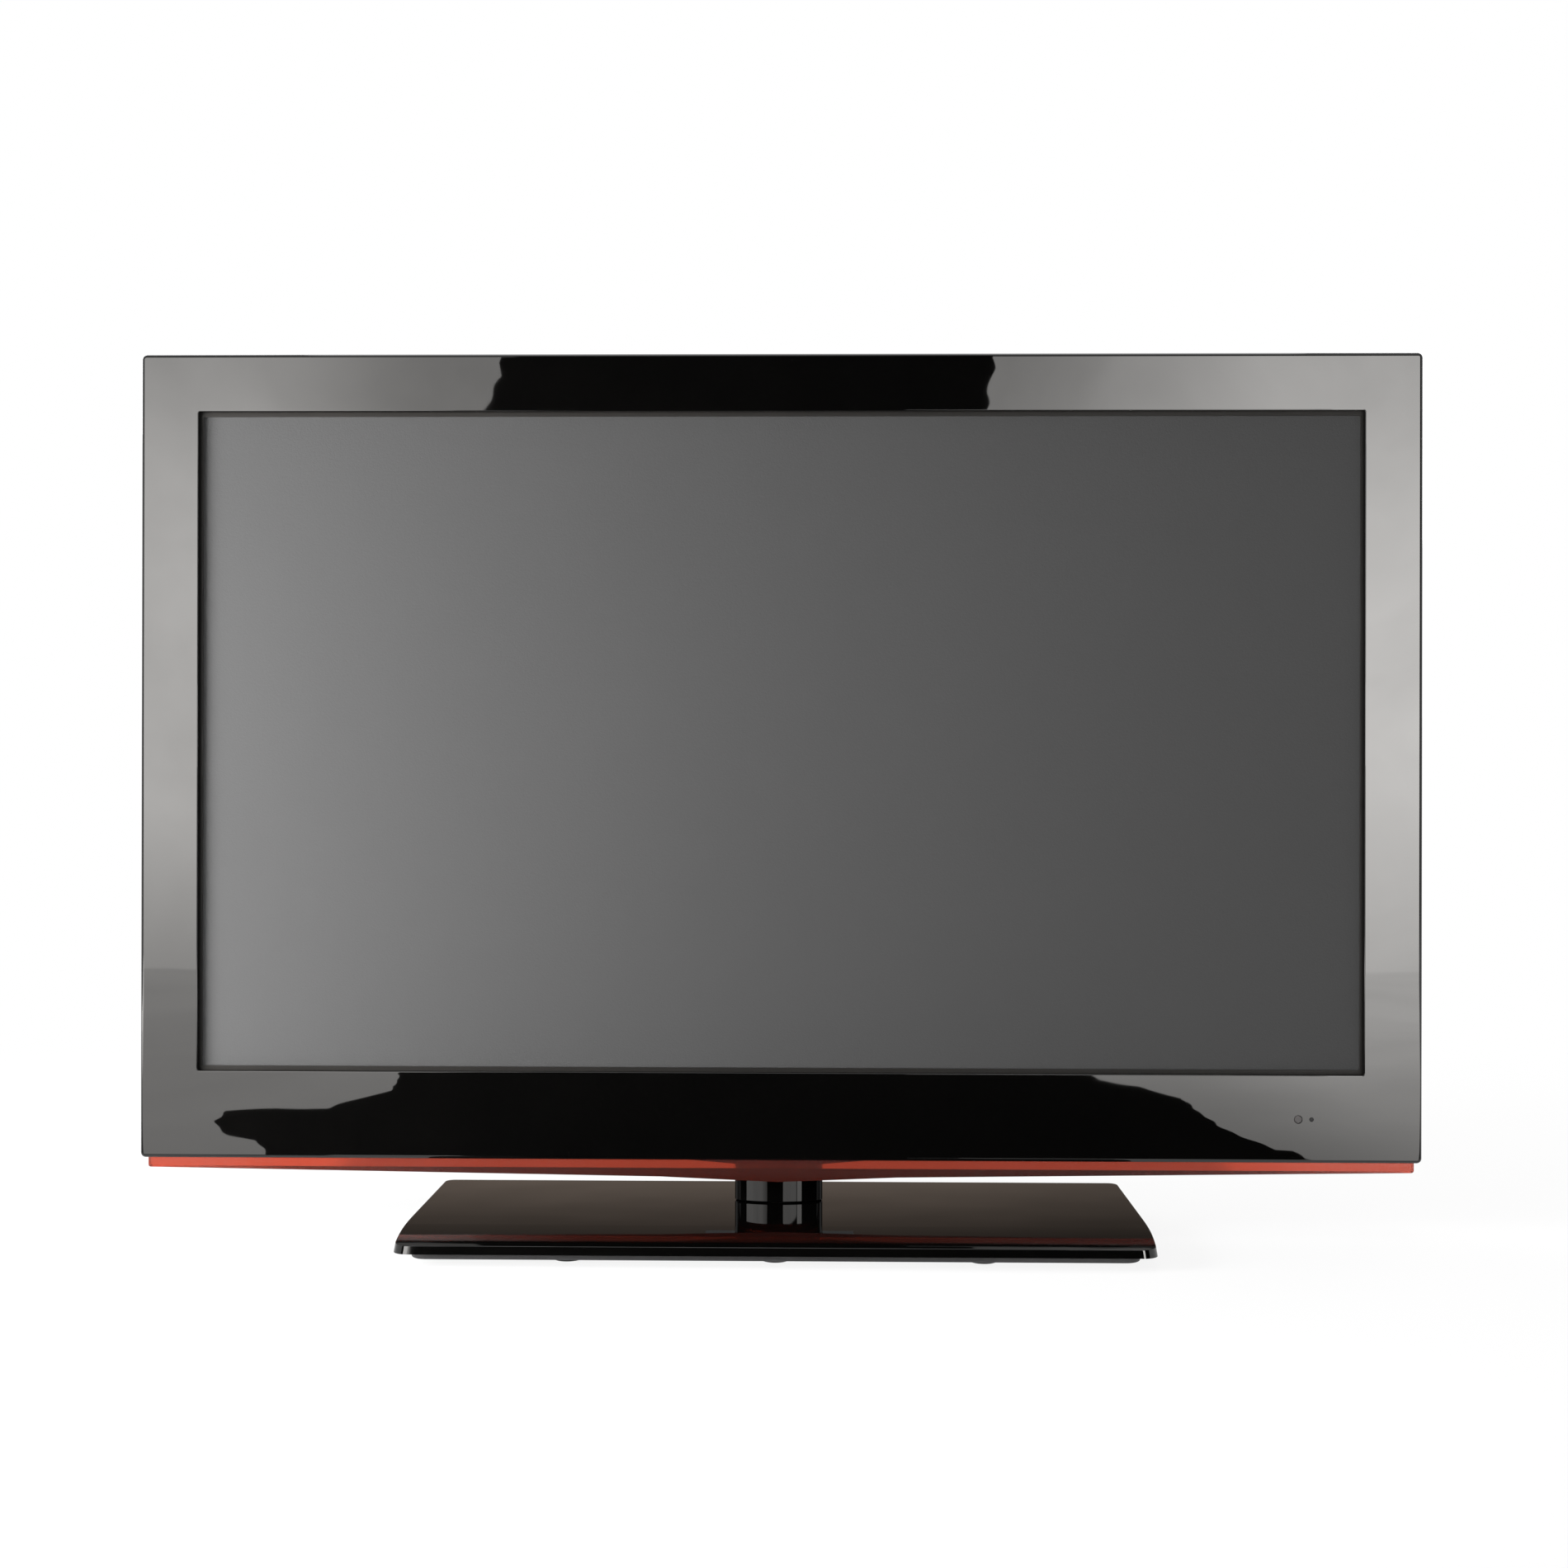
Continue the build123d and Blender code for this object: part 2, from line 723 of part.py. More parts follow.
with BuildPart() as front_bezel:
    panel(set_width, set_height, set_mid, bezel_front, bezel_depth, set_corner)
    fillet(front_bezel.edges().group_by(Axis.Y)[0], bezel_roll)
    panel(set_width - 2 * bezel_wall, set_height - 2 * bezel_wall, set_mid, skin_back,
          bezel_depth - bezel_skin, set_corner - bezel_wall, mode=Mode.SUBTRACT)
    panel(opening_width + 2 * lip_wall, opening_height + 2 * lip_wall, screen_mid, skin_back,
          lip_depth - bezel_skin)
    panel(opening_width, opening_height, screen_mid, bezel_front, lip_depth, lip_corner,
          mode=Mode.SUBTRACT)
    inner_rim = front_bezel.edges().group_by(Axis.Y)[0].filter_by(
        lambda e: abs(e.center().X) < opening_width / 2 + near
        and abs(e.center().Z - screen_mid) < opening_height / 2 + near)
    fillet(inner_rim, lip_roll)
    pegs(rim_places, skin_back, bezel_depth - bezel_skin, boss_radius)
    pegs(rim_places, skin_back + bezel_skin, bezel_depth, m3_radius, Mode.SUBTRACT)
    pegs(eye_post_places, skin_back, eye_board_back, m3_head_radius)
    pegs(eye_post_places, skin_back + bezel_skin, eye_board_back, m3_radius, Mode.SUBTRACT)
    pegs(speaker_post_places, skin_back, speaker_lug_front - skin_back, boss_radius)
    pegs(speaker_post_places, skin_back + bezel_skin, speaker_lug_front, m3_radius, Mode.SUBTRACT)
    pegs([(eye_x, eye_z)], bezel_front, bezel_skin, eye_radius + screw_gap / 2, Mode.SUBTRACT)
    pegs([(led_x, eye_z)], bezel_front, bezel_skin, led_radius + screw_gap / 2, Mode.SUBTRACT)
    columns(blade_pin_places, floor_gap, bezel_wall, blade_pin_radius + screw_gap, Mode.SUBTRACT)
    with BuildSketch(upright(blade_front + blade_depth + fit_gap)) as keel:
        with BuildLine():
            Polyline((-keel_half, floor_gap), (0, floor_gap - keel_drop), (keel_half, floor_gap), close=True)
        make_face()
    extrude(keel.sketch, amount=-(cover_front - blade_front - blade_depth - fit_gap))
keep(front_bezel, "front_bezel")


def blade_outline(y, shoulder_drop, apex_drop):
    """The blade's outline at depth y: straight along its top, with a shallow V below."""
    half = set_width / 2 - blade_inset
    drops = [(half, blade_end_drop), (blade_shoulder, shoulder_drop), (0, apex_drop),
             (-blade_shoulder, shoulder_drop), (-half, blade_end_drop)]
    with BuildSketch(upright(y)) as outline:
        with BuildLine():
            Polyline((-half, floor_gap), (half, floor_gap), *[(x, floor_gap - drop) for x, drop in drops],
                     close=True)
        make_face()
    return outline.sketch


with BuildPart() as accent_blade:
    loft([blade_outline(blade_front, blade_shoulder_drop, blade_apex_drop),
          blade_outline(blade_front + blade_depth, blade_end_drop + blade_back_shoulder,
                        blade_end_drop + blade_back_apex)], ruled=True)
    blade_mid = blade_front + blade_depth / 2
    end_edges = accent_blade.edges().filter_by(
        lambda e: abs(e.center().Y - blade_mid) < near and e.center().Z < floor_gap - near
        and abs(e.center().X) > set_width / 2 - blade_inset - near)
    fillet(end_edges, blade_corner)
    columns(blade_pin_places, floor_gap, blade_pin_height, blade_pin_radius)
keep(accent_blade, "accent_blade")


# Remote eye and power lamp

def lens(x, radius, flange_radius, back):
    """A clear window in the bezel with a flange behind it, and a stem back to the board."""
    with BuildPart() as piece:
        pegs([(x, eye_z)], bezel_front + lens_recess, bezel_skin, radius)
        pegs([(x, eye_z)], skin_back + lens_recess, lens_thickness, flange_radius)
        fillet(piece.edges().group_by(Axis.Y)[0], radius * lens_roll_share)
        if back > 0:
            pegs([(x, eye_z)], skin_back + lens_thickness, back, radius * lens_stem_share)
    return piece


eye_front = skin_back + eye_board_back - eye_size
keep(lens(eye_x, eye_radius, eye_flange, 0), "remote_window")
keep(lens(led_x, led_radius, led_flange, eye_size - 2 * lens_thickness), "lamp_light_pipe")

with BuildPart() as remote_eye_board:
    eye_board_front = skin_back + eye_board_back
    panel(eye_board_width, eye_board_height, eye_z, eye_board_front, board_thickness, board_corner / 2,
          eye_board_x)
    pegs(eye_post_places, eye_board_front, board_thickness, m3_radius + screw_gap, Mode.SUBTRACT)
    panel(eye_size, eye_size + eye_shoulder, eye_z, eye_front + eye_shoulder, eye_size - eye_shoulder, 0,
          eye_x)
    panel(led_size, led_size, eye_z, eye_board_front - led_height, led_height, 0, led_x)
keep(remote_eye_board, "remote_eye_board")


# Screen module

def ring(width, height, hole_width, hole_height, front, thickness, hole_radius=0.0):
    """A flat frame round the screen's middle."""
    panel(width, height, screen_mid, front, thickness)
    panel(hole_width, hole_height, screen_mid, front, thickness, hole_radius, mode=Mode.SUBTRACT)


def grown(margin):
    """Width and height of the picture area with a margin all round."""
    return active_width + 2 * margin, active_height + 2 * margin


with BuildPart() as panel_front_frame:
    panel(module_width, module_height, screen_mid, module_front, front_frame_depth)
    panel(module_width - 2 * module_sheet, module_height - 2 * module_sheet, screen_mid, glass_front,
          front_frame_depth, mode=Mode.SUBTRACT)
    panel(*grown(aperture_gap), screen_mid, module_front, module_sheet, screen_corner, mode=Mode.SUBTRACT)
keep(panel_front_frame, "panel_front_frame")

with BuildPart() as screen_glass:
    panel(*grown(glass_margin), screen_mid, glass_front, glass_thickness)
keep(screen_glass, "screen_glass")

inner_width = module_width - 2 * (module_sheet + fit_gap)
inner_height = module_height - 2 * (module_sheet + fit_gap)
with BuildPart() as panel_middle_frame:
    ring(inner_width, inner_height, *grown(middle_margin), middle_front, middle_thickness)
keep(panel_middle_frame, "panel_middle_frame")

with BuildPart() as optical_films:
    panel(*grown(film_margin), screen_mid, film_front, film_thickness)
keep(optical_films, "optical_films")

with BuildPart() as diffuser_plate:
    panel(*grown(film_margin), screen_mid, diffuser_front, diffuser_thickness)
keep(diffuser_plate, "diffuser_plate")

boards = [power_board_spot, main_board_spot, lamp_board_spot, timing_board_spot]


def board_holes(spot):
    """Screw places near a board's four corners."""
    mid_x, rise, width, height = spot
    return [(mid_x + x, screen_mid + rise + z)
            for x in (board_hole_inset - width / 2, width / 2 - board_hole_inset)
            for z in (board_hole_inset - height / 2, height / 2 - board_hole_inset)]


board_places = [place for spot in boards for place in board_holes(spot)]
flange_margin = film_margin - flange_overlap
with BuildPart() as panel_rear_tray:
    panel(inner_width, inner_height, screen_mid, tray_front, tray_back - tray_front)
    panel(inner_width - 2 * module_sheet, inner_height - 2 * module_sheet, screen_mid,
          tray_front + module_sheet, tray_back - tray_front - 2 * module_sheet, mode=Mode.SUBTRACT)
    panel(*grown(flange_margin), screen_mid, tray_front, module_sheet, mode=Mode.SUBTRACT)
    pegs(board_places, tray_back, board_standoff, standoff_radius)
    pegs(board_places, tray_back, board_standoff, m3_radius, Mode.SUBTRACT)
    pegs(bracket_places, tray_back - module_sheet, module_sheet, m4_radius, Mode.SUBTRACT)
keep(panel_rear_tray, "panel_rear_tray")

holder_inner = active_width / 2 + flange_margin
holder_mid = holder_inner + holder_width / 2
holder_height = inner_height - 4 * module_sheet
with BuildPart() as reflector_sheet:
    panel(2 * (holder_inner - fit_gap), holder_height, screen_mid, reflector_front, reflector_thickness)
keep(reflector_sheet, "reflector_sheet")

lamp_heights = [screen_mid + (i - (lamp_count - 1) / 2) * lamp_pitch for i in range(lamp_count)]
with BuildPart() as lamp_holders:
    for side in (-1, 1):
        panel(holder_width, holder_height, screen_mid, tray_front + module_sheet,
              tray_back - tray_front - 2 * module_sheet, 0, side * holder_mid)
        with BuildSketch(Plane.YZ.offset(side * holder_inner)) as sockets:
            with Locations(*[(lamp_y, z) for z in lamp_heights]):
                Circle(lamp_radius + screw_gap / 2)
        extrude(sockets.sketch, amount=side * (lamp_grip + fit_gap), mode=Mode.SUBTRACT)
keep(lamp_holders, "lamp_holders")

with BuildPart() as backlight_lamps:
    with BuildSketch(Plane.YZ.offset(-holder_inner - lamp_grip)) as tubes:
        with Locations(*[(lamp_y, z) for z in lamp_heights]):
            Circle(lamp_radius)
    extrude(tubes.sketch, amount=2 * (holder_inner + lamp_grip))
keep(backlight_lamps, "backlight_lamps")

with BuildPart() as diffuser_supports:
    support_height = reflector_front - tray_front
    support_middle = Plane.XZ.offset(-reflector_front).shift_origin((0, reflector_front, screen_mid))
    with Locations(support_middle):
        with GridLocations(support_pitch, support_lamp_steps * lamp_pitch, support_columns, 2):
            Cone(support_foot, support_tip, support_height, align=(Align.CENTER, Align.CENTER, Align.MIN))
keep(diffuser_supports, "diffuser_supports")

with BuildPart() as screen_drive_boards:
    drive_top = module_low - drive_board_gap
    for side in (-1, 1):
        with Locations((side * drive_board_x, drive_board_front, drive_top)):
            Box(drive_board_length, drive_board_depth, board_thickness,
                align=(Align.CENTER, Align.MIN, Align.MAX))
keep(screen_drive_boards, "screen_drive_boards")


# Circuit boards

def board(spot):
    """A bare circuit board with its screw holes, on the module's standoffs."""
    mid_x, rise, width, height = spot
    panel(width, height, screen_mid + rise, board_front, board_thickness, board_corner, mid_x)
    pegs(board_holes(spot), board_front, board_thickness, m3_radius + screw_gap, Mode.SUBTRACT)


def on_board(spot, x, z):
    """A place on the back of a board, from the board's middle."""
    return (spot[0] + x, board_back, screen_mid + spot[1] + z)


def blocks(spot, places, size):
    """Box-shaped components on a board: size is along X, away from the board, and along Z."""
    with Locations(*[on_board(spot, x, z) for x, z in places]):
        Box(*size, align=(Align.CENTER, Align.MIN, Align.CENTER))


for name, spot in (("power_board", power_board_spot), ("main_board", main_board_spot),
                   ("lamp_drive_board", lamp_board_spot), ("timing_board", timing_board_spot)):
    with BuildPart() as bare_board:
        board(spot)
    keep(bare_board, name)


def row(count, pitch):
    """Offsets of a row of equal steps about its middle."""
    return [(i - (count - 1) / 2) * pitch for i in range(count)]


with BuildPart() as transformers:
    blocks(power_board_spot, big_transformer_places, big_transformer)
    blocks(power_board_spot, [small_transformer_place], small_transformer)
    blocks(lamp_board_spot, [(0, z) for z in row(lamp_transformer_count, lamp_transformer_pitch)],
           lamp_transformer)
    fillet(transformers.edges().filter_by(Axis.Y), winding_roll)
keep(transformers, "transformers")

with BuildPart() as power_capacitors:
    for first_x, z, pitch, count, radius, height in capacitor_rows:
        for i in range(count):
            with Locations(Plane(origin=on_board(power_board_spot, first_x + i * pitch, z), z_dir=(0, 1, 0))):
                Cylinder(radius, height, align=(Align.CENTER, Align.CENTER, Align.MIN))
keep(power_capacitors, "power_capacitors")

with BuildPart() as heatsinks:
    sink_x, sink_z = heatsink_place
    for z in (sink_z, sink_z - heatsink_pitch):
        blocks(power_board_spot, [(sink_x, z)], heatsink_plate)
        blocks(power_board_spot, [(sink_x + x, z + heatsink_fin[2] / 2)
                                  for x in row(heatsink_fin_count, heatsink_fin_pitch)], heatsink_fin)
    x, y, z = on_board(main_board_spot, *processor_place)
    with Locations((x, y + processor[1], z)):
        Box(*processor_sink, align=(Align.CENTER, Align.MIN, Align.CENTER))
    with Locations(*[(x + fin, y + processor[1] + processor_sink[1], z)
                     for fin in row(processor_fin_count, processor_fin_pitch)]):
        Box(*processor_fin, align=(Align.CENTER, Align.MIN, Align.CENTER))
keep(heatsinks, "heatsinks")

with BuildPart() as board_chips:
    blocks(main_board_spot, [processor_place], processor)
    blocks(main_board_spot, memory_places, memory_chip)
    blocks(main_board_spot, small_chip_places, small_chip)
    blocks(timing_board_spot, [(0, 0)], timing_chip)
    blocks(timing_board_spot, [(x, 0) for x in row(2, driver_chip_pitch)], driver_chip)
keep(board_chips, "board_chips")


# Rear cover

tower_half = neck_width / 2 + tower_margin
tower_back = neck_back + tower_back_margin
bulge_width = module_width - 2 * bulge_side_inset
vent_z = bulge_high - bulge_top_slope - vent_drop / 2
low_vent_z = bulge_low + bulge_bottom_slope + low_vent_rise
main_x, main_rise, main_width, main_height = main_board_spot
main_left = main_x - main_width / 2
main_mid = screen_mid + main_rise
main_low = screen_mid + main_rise - main_height / 2
jack_wall_x = main_left - side_jack_gap
jack_wall_z = main_low - bottom_jack_gap
vesa_places = [(x, screen_mid + z) for x in (-vesa_width / 2, vesa_width / 2)
               for z in (-vesa_height / 2, vesa_height / 2)]


def notch(low, high, left, right, grow):
    """A recess for plugs, cut into the bulge from behind and grown where the wall lies."""
    width = right - left + 2 * grow
    height = high - low + 2 * grow
    panel(width, height, (low + high) / 2, rim_back - grow, bulge_depth + grow + overcut,
          mid_x=(left + right) / 2, mode=Mode.SUBTRACT)


def cover_shape(inset):
    """The rear cover's outside, or with an inset of one wall the space inside it."""
    side = cover_step + inset
    high_mid = (bulge_low + bulge_high) / 2
    with BuildPart() as shape:
        panel(set_width - 2 * side, set_height - 2 * side, set_mid, cover_front, rim_depth - inset,
              set_corner + cover_wall - inset)
        if inset == 0:
            fillet(shape.edges().group_by(Axis.Y)[-1], rim_roll)
        with BuildSketch(upright(rim_back - inset)) as foot:
            with Locations((0, high_mid)):
                RectangleRounded(bulge_width - 2 * inset, bulge_high - bulge_low - 2 * inset, bulge_corner)
        rear_low = bulge_low + bulge_bottom_slope
        rear_high = bulge_high - bulge_top_slope
        with BuildSketch(upright(rear_face - inset)) as rear:
            with Locations((0, (rear_low + rear_high) / 2)):
                RectangleRounded(bulge_width - 2 * (bulge_side_slope + inset),
                                 rear_high - rear_low - 2 * inset, bulge_corner)
        loft([foot.sketch, rear.sketch], ruled=True)
        if inset == 0:
            fillet(shape.faces().sort_by(Axis.Y)[-1].edges(), cover_roll)
        tower_low = cover_low + inset
        panel(2 * (tower_half - inset), tower_top - inset - tower_low, (tower_low + tower_top - inset) / 2,
              rim_back - inset, tower_back - rim_back, 0)
        notch(main_mid - side_notch_span / 2, main_mid + side_notch_span / 2, -set_width / 2, jack_wall_x,
              inset)
        notch(cover_low, jack_wall_z, jack_wall_x, jack_wall_x + bottom_notch_span, inset)
        notch(cover_low, jack_wall_z, inlet_x - inlet_notch_span / 2, inlet_x + inlet_notch_span / 2, inset)
    return shape.part


cover_side = set_width / 2 - cover_step
key_y = cover_front + (rim_depth - cover_wall) / 2
key_mid = screen_mid + key_rise
key_heights = [key_mid + ((len(key_names) - 1) / 2 - i) * key_pitch for i in range(len(key_names))]
key_flange_face = cover_side - cover_wall - fit_gap
key_stem_end = key_flange_face - key_flange - key_stem
key_switch_face = key_stem_end - key_travel - fit_gap
key_board_face = key_switch_face - key_switch_height
key_board_length = len(key_names) * key_pitch + 4 * m3_head_radius
key_post_rise = key_board_length / 2 - m3_head_radius - key_post_margin
key_post_heights = [key_mid - key_post_rise, key_mid + key_post_rise]

# Sockets: where each row sits on the main board's two outer edges
side_wall = jack_wall_x + cover_wall
bottom_wall = jack_wall_z + cover_wall
hdmi_heights = [main_mid + hdmi_rise + (i - (hdmi_count - 1) / 2) * hdmi_pitch for i in range(hdmi_count)]
side_jack_heights = [main_mid - side_jack_drop + (i - (side_jack_count - 1) / 2) * jack_pitch
                     for i in range(side_jack_count)]
bottom_jack_places = [main_left + component_x + (i - (bottom_jack_count - 1) / 2) * jack_pitch
                      for i in range(bottom_jack_count)]
hdmi_y = board_back + hdmi_body[1] / 2
jack_y = board_back + jack_block / 2
aerial_x = main_left + tuner_x
aerial_y = board_back + tuner_size[1] / 2


def side_holes(grow, x, depth):
    """Cut the side sockets' holes through a wall that starts at x and is depth thick."""
    with BuildSketch(Plane.YZ.offset(x)) as holes:
        with Locations(*[(hdmi_y, z) for z in hdmi_heights]):
            Rectangle(hdmi_body[1] + 2 * grow, hdmi_body[0] + 2 * grow)
        with Locations(*[(jack_y, z) for z in side_jack_heights]):
            Circle(jack_barrel_radius + grow)
    extrude(holes.sketch, amount=depth, mode=Mode.SUBTRACT)


def bottom_holes(grow, z, depth):
    """Cut the lower sockets' holes through a wall that starts at z and is depth thick."""
    with BuildSketch(Plane.XY.offset(z)) as holes:
        with Locations(*[(x, jack_y) for x in bottom_jack_places]):
            Circle(jack_barrel_radius + grow)
        with Locations((aerial_x, aerial_y)):
            Circle(aerial_radius + grow)
    extrude(holes.sketch, amount=depth, mode=Mode.SUBTRACT)


with BuildPart() as rear_cover:
    add(cover_shape(0))
    add(cover_shape(cover_wall), mode=Mode.SUBTRACT)
    extrude(neck_outline(floor_gap, fit_gap), amount=cover_wall * 2, mode=Mode.SUBTRACT)
    pegs(rim_places, cover_front, rim_depth, boss_radius)
    pegs(rim_places, cover_front, rim_depth, m3_radius + screw_gap, Mode.SUBTRACT)
    pegs(vesa_places, rear_face - cover_wall - overcut, cover_wall + 2 * overcut, vesa_boss_radius + fit_gap,
         Mode.SUBTRACT)
    with BuildSketch(upright(rear_face)) as vents:
        with Locations((0, vent_z)):
            with GridLocations(vent_pitch, 1, vent_count, 1):
                SlotOverall(vent_length, vent_width, rotation=90)
        with Locations((0, low_vent_z)):
            with GridLocations(vent_pitch, 1, low_vent_count, 1):
                SlotOverall(vent_length, vent_width, rotation=90)
    extrude(vents.sketch, amount=cover_wall * 2, mode=Mode.SUBTRACT)
    with BuildSketch(Plane.XY.offset(cover_low)) as grilles:
        with Locations((-speaker_x, cover_front + rim_depth / 2), (speaker_x, cover_front + rim_depth / 2)):
            with GridLocations(grille_pitch, 1, grille_count, 1):
                SlotOverall(grille_length, grille_width, rotation=90)
    extrude(grilles.sketch, amount=cover_wall, mode=Mode.SUBTRACT)
    side_holes(fit_gap, jack_wall_x, cover_wall)
    bottom_holes(fit_gap, jack_wall_z, cover_wall)
    with Locations((inlet_x, inlet_y, jack_wall_z)):
        Box(inlet_body[0] + 2 * fit_gap, inlet_body[1] + 2 * fit_gap, cover_wall,
            align=(Align.CENTER, Align.CENTER, Align.MIN), mode=Mode.SUBTRACT)
    with Locations(*[(inlet_x + side * inlet_screw_x, inlet_y, jack_wall_z) for side in (-1, 1)]):
        Cylinder(m3_radius, cover_wall, align=(Align.CENTER, Align.CENTER, Align.MIN), mode=Mode.SUBTRACT)
    with BuildSketch(Plane.YZ.offset(key_board_face)) as key_posts:
        with Locations(*[(key_y, z) for z in key_post_heights]):
            Circle(m3_head_radius)
    extrude(key_posts.sketch, amount=cover_side - cover_wall - key_board_face)
    with BuildSketch(Plane.YZ.offset(key_board_face)) as post_holes:
        with Locations(*[(key_y, z) for z in key_post_heights]):
            Circle(m3_radius)
    extrude(post_holes.sketch, amount=cover_side - cover_wall - key_board_face, mode=Mode.SUBTRACT)
    with BuildSketch(Plane.YZ.offset(cover_side - cover_wall)) as key_holes:
        with Locations(*[(key_y, z) for z in key_heights]):
            RectangleRounded(key_width + 2 * fit_gap, key_length + 2 * fit_gap, key_corner + fit_gap)
    extrude(key_holes.sketch, amount=cover_wall, mode=Mode.SUBTRACT)
keep(rear_cover, "rear_cover")

with BuildPart() as wall_mount_rails:
    for side in (-1, 1):
        rail_x = side * vesa_width / 2
        panel(rail_width, rail_length, screen_mid, tray_back, rail_sheet, rail_corner, rail_x)
        for edge in (-1, 1):
            panel(rail_sheet, rail_length - 2 * rail_sheet, screen_mid, tray_back, rail_flange, 0,
                  rail_x + edge * (rail_width - rail_sheet) / 2)
    pegs(vesa_places, tray_back, rear_face - tray_back, vesa_boss_radius)
    pegs(vesa_places, tray_back + rail_sheet, rear_face - tray_back, vesa_hole_radius, Mode.SUBTRACT)
keep(wall_mount_rails, "wall_mount_rails")


# Side keypad

with BuildPart() as key_board:
    with BuildSketch(Plane.YZ.offset(key_board_face - board_thickness)) as key_strip:
        with Locations((key_y, key_mid)):
            Rectangle(key_board_width, key_board_length)
        with Locations(*[(key_y, z) for z in key_post_heights]):
            Circle(m3_radius + screw_gap, mode=Mode.SUBTRACT)
    extrude(key_strip.sketch, amount=board_thickness)
    with BuildSketch(Plane.YZ.offset(key_board_face)) as switches:
        with Locations(*[(key_y, z) for z in key_heights]):
            Rectangle(key_switch_size, key_switch_size)
    extrude(switches.sketch, amount=key_switch_height)
keep(key_board, "key_board")

for key_name, key_z in zip(key_names, key_heights):
    with BuildPart() as key:
        with BuildSketch(Plane.YZ.offset(key_flange_face)) as cap:
            with Locations((key_y, key_z)):
                RectangleRounded(key_width, key_length, key_corner)
        extrude(cap.sketch, amount=cover_side + key_proud - key_flange_face)
        fillet(key.edges().group_by(Axis.X)[-1], key_proud / 2)
        with BuildSketch(Plane.YZ.offset(key_flange_face - key_flange)) as flange:
            with Locations((key_y, key_z)):
                Rectangle(key_width + 2 * key_flange_margin, key_length + 2 * key_flange_margin)
        extrude(flange.sketch, amount=key_flange)
        with BuildSketch(Plane.YZ.offset(key_stem_end)) as stem:
            with Locations((key_y, key_z)):
                Circle(key_stem_radius)
        extrude(stem.sketch, amount=key_stem)
    keep(key, f"button_{key_name}")


# Sockets

with BuildPart() as jack_plates:
    with BuildSketch(Plane.YZ.offset(side_wall)) as side_plate:
        with Locations((board_back + jack_block, main_mid)):
            Rectangle(2 * jack_block, main_height)
    extrude(side_plate.sketch, amount=plate_sheet)
    side_holes(fit_gap, side_wall, plate_sheet)
    plate_left = side_wall + plate_sheet + fit_gap
    plate_right = jack_wall_x + bottom_notch_span - cover_wall
    with BuildSketch(Plane.XY.offset(bottom_wall)) as bottom_plate:
        with Locations(((plate_left + plate_right) / 2, board_back + jack_block)):
            Rectangle(plate_right - plate_left, 2 * jack_block)
    extrude(bottom_plate.sketch, amount=plate_sheet)
    bottom_holes(fit_gap, bottom_wall, plate_sheet)
keep(jack_plates, "jack_plates")

with BuildPart() as hdmi_sockets:
    for z in hdmi_heights:
        with Locations((jack_wall_x, hdmi_y, z)):
            Box(hdmi_body[2], hdmi_body[1], hdmi_body[0], align=(Align.MIN, Align.CENTER, Align.CENTER))
            Box(hdmi_mouth[2], hdmi_mouth[1], hdmi_mouth[0], align=(Align.MIN, Align.CENTER, Align.CENTER),
                mode=Mode.SUBTRACT)
        with Locations((jack_wall_x + hdmi_mouth[2] - hdmi_tongue[2], hdmi_y, z)):
            Box(hdmi_tongue[2], hdmi_tongue[1], hdmi_tongue[0], align=(Align.MIN, Align.CENTER, Align.CENTER))
keep(hdmi_sockets, "hdmi_sockets")


def jacks(places, outward):
    """Round phono jacks: a square block on the board and a barrel through the wall."""
    for place in places:
        seat = Plane(origin=place, z_dir=outward)
        with BuildSketch(seat) as block:
            Rectangle(jack_block, jack_block)
        extrude(block.sketch, amount=-jack_block)
        with BuildSketch(seat) as barrel:
            Circle(jack_barrel_radius)
        extrude(barrel.sketch, amount=jack_barrel_length + cover_wall + plate_sheet)
        with BuildSketch(seat.offset(jack_barrel_length + cover_wall + plate_sheet)) as bore:
            Circle(jack_hole_radius)
        extrude(bore.sketch, amount=-jack_barrel_length, mode=Mode.SUBTRACT)


with BuildPart() as phono_jacks:
    jacks([(side_wall + plate_sheet, jack_y, z) for z in side_jack_heights], (-1, 0, 0))
    jacks([(x, jack_y, bottom_wall + plate_sheet) for x in bottom_jack_places], (0, 0, -1))
keep(phono_jacks, "phono_jacks")

with BuildPart() as tuner:
    with Locations((aerial_x, aerial_y, bottom_wall + plate_sheet)):
        Box(*tuner_size, align=(Align.CENTER, Align.CENTER, Align.MIN))
    columns([(aerial_x, aerial_y)], jack_wall_z - aerial_length, aerial_length + cover_wall + plate_sheet,
            aerial_radius)
    columns([(aerial_x, aerial_y)], jack_wall_z - aerial_length, aerial_length, aerial_bore, Mode.SUBTRACT)
keep(tuner, "tuner")

with BuildPart() as mains_inlet:
    inlet_low = jack_wall_z - inlet_flange[2]
    with Locations((inlet_x, inlet_y, inlet_low)):
        Box(*inlet_flange, align=(Align.CENTER, Align.CENTER, Align.MIN))
        Box(*inlet_body, align=(Align.CENTER, Align.CENTER, Align.MIN))
        Box(*inlet_cavity, align=(Align.CENTER, Align.CENTER, Align.MIN), mode=Mode.SUBTRACT)
    for step, rise in ((-1, -1), (0, 1), (1, -1)):
        with Locations((inlet_x + step * inlet_pin_pitch, inlet_y + rise * inlet_pin_offset,
                        inlet_low + inlet_cavity[2])):
            Box(*inlet_pin, align=(Align.CENTER, Align.CENTER, Align.MAX))
    with Locations(*[(inlet_x + side * inlet_screw_x, inlet_y, inlet_low) for side in (-1, 1)]):
        Cylinder(m3_radius + screw_gap, inlet_flange[2], align=(Align.CENTER, Align.CENTER, Align.MIN),
                 mode=Mode.SUBTRACT)
keep(mains_inlet, "mains_inlet")


# Loudspeakers

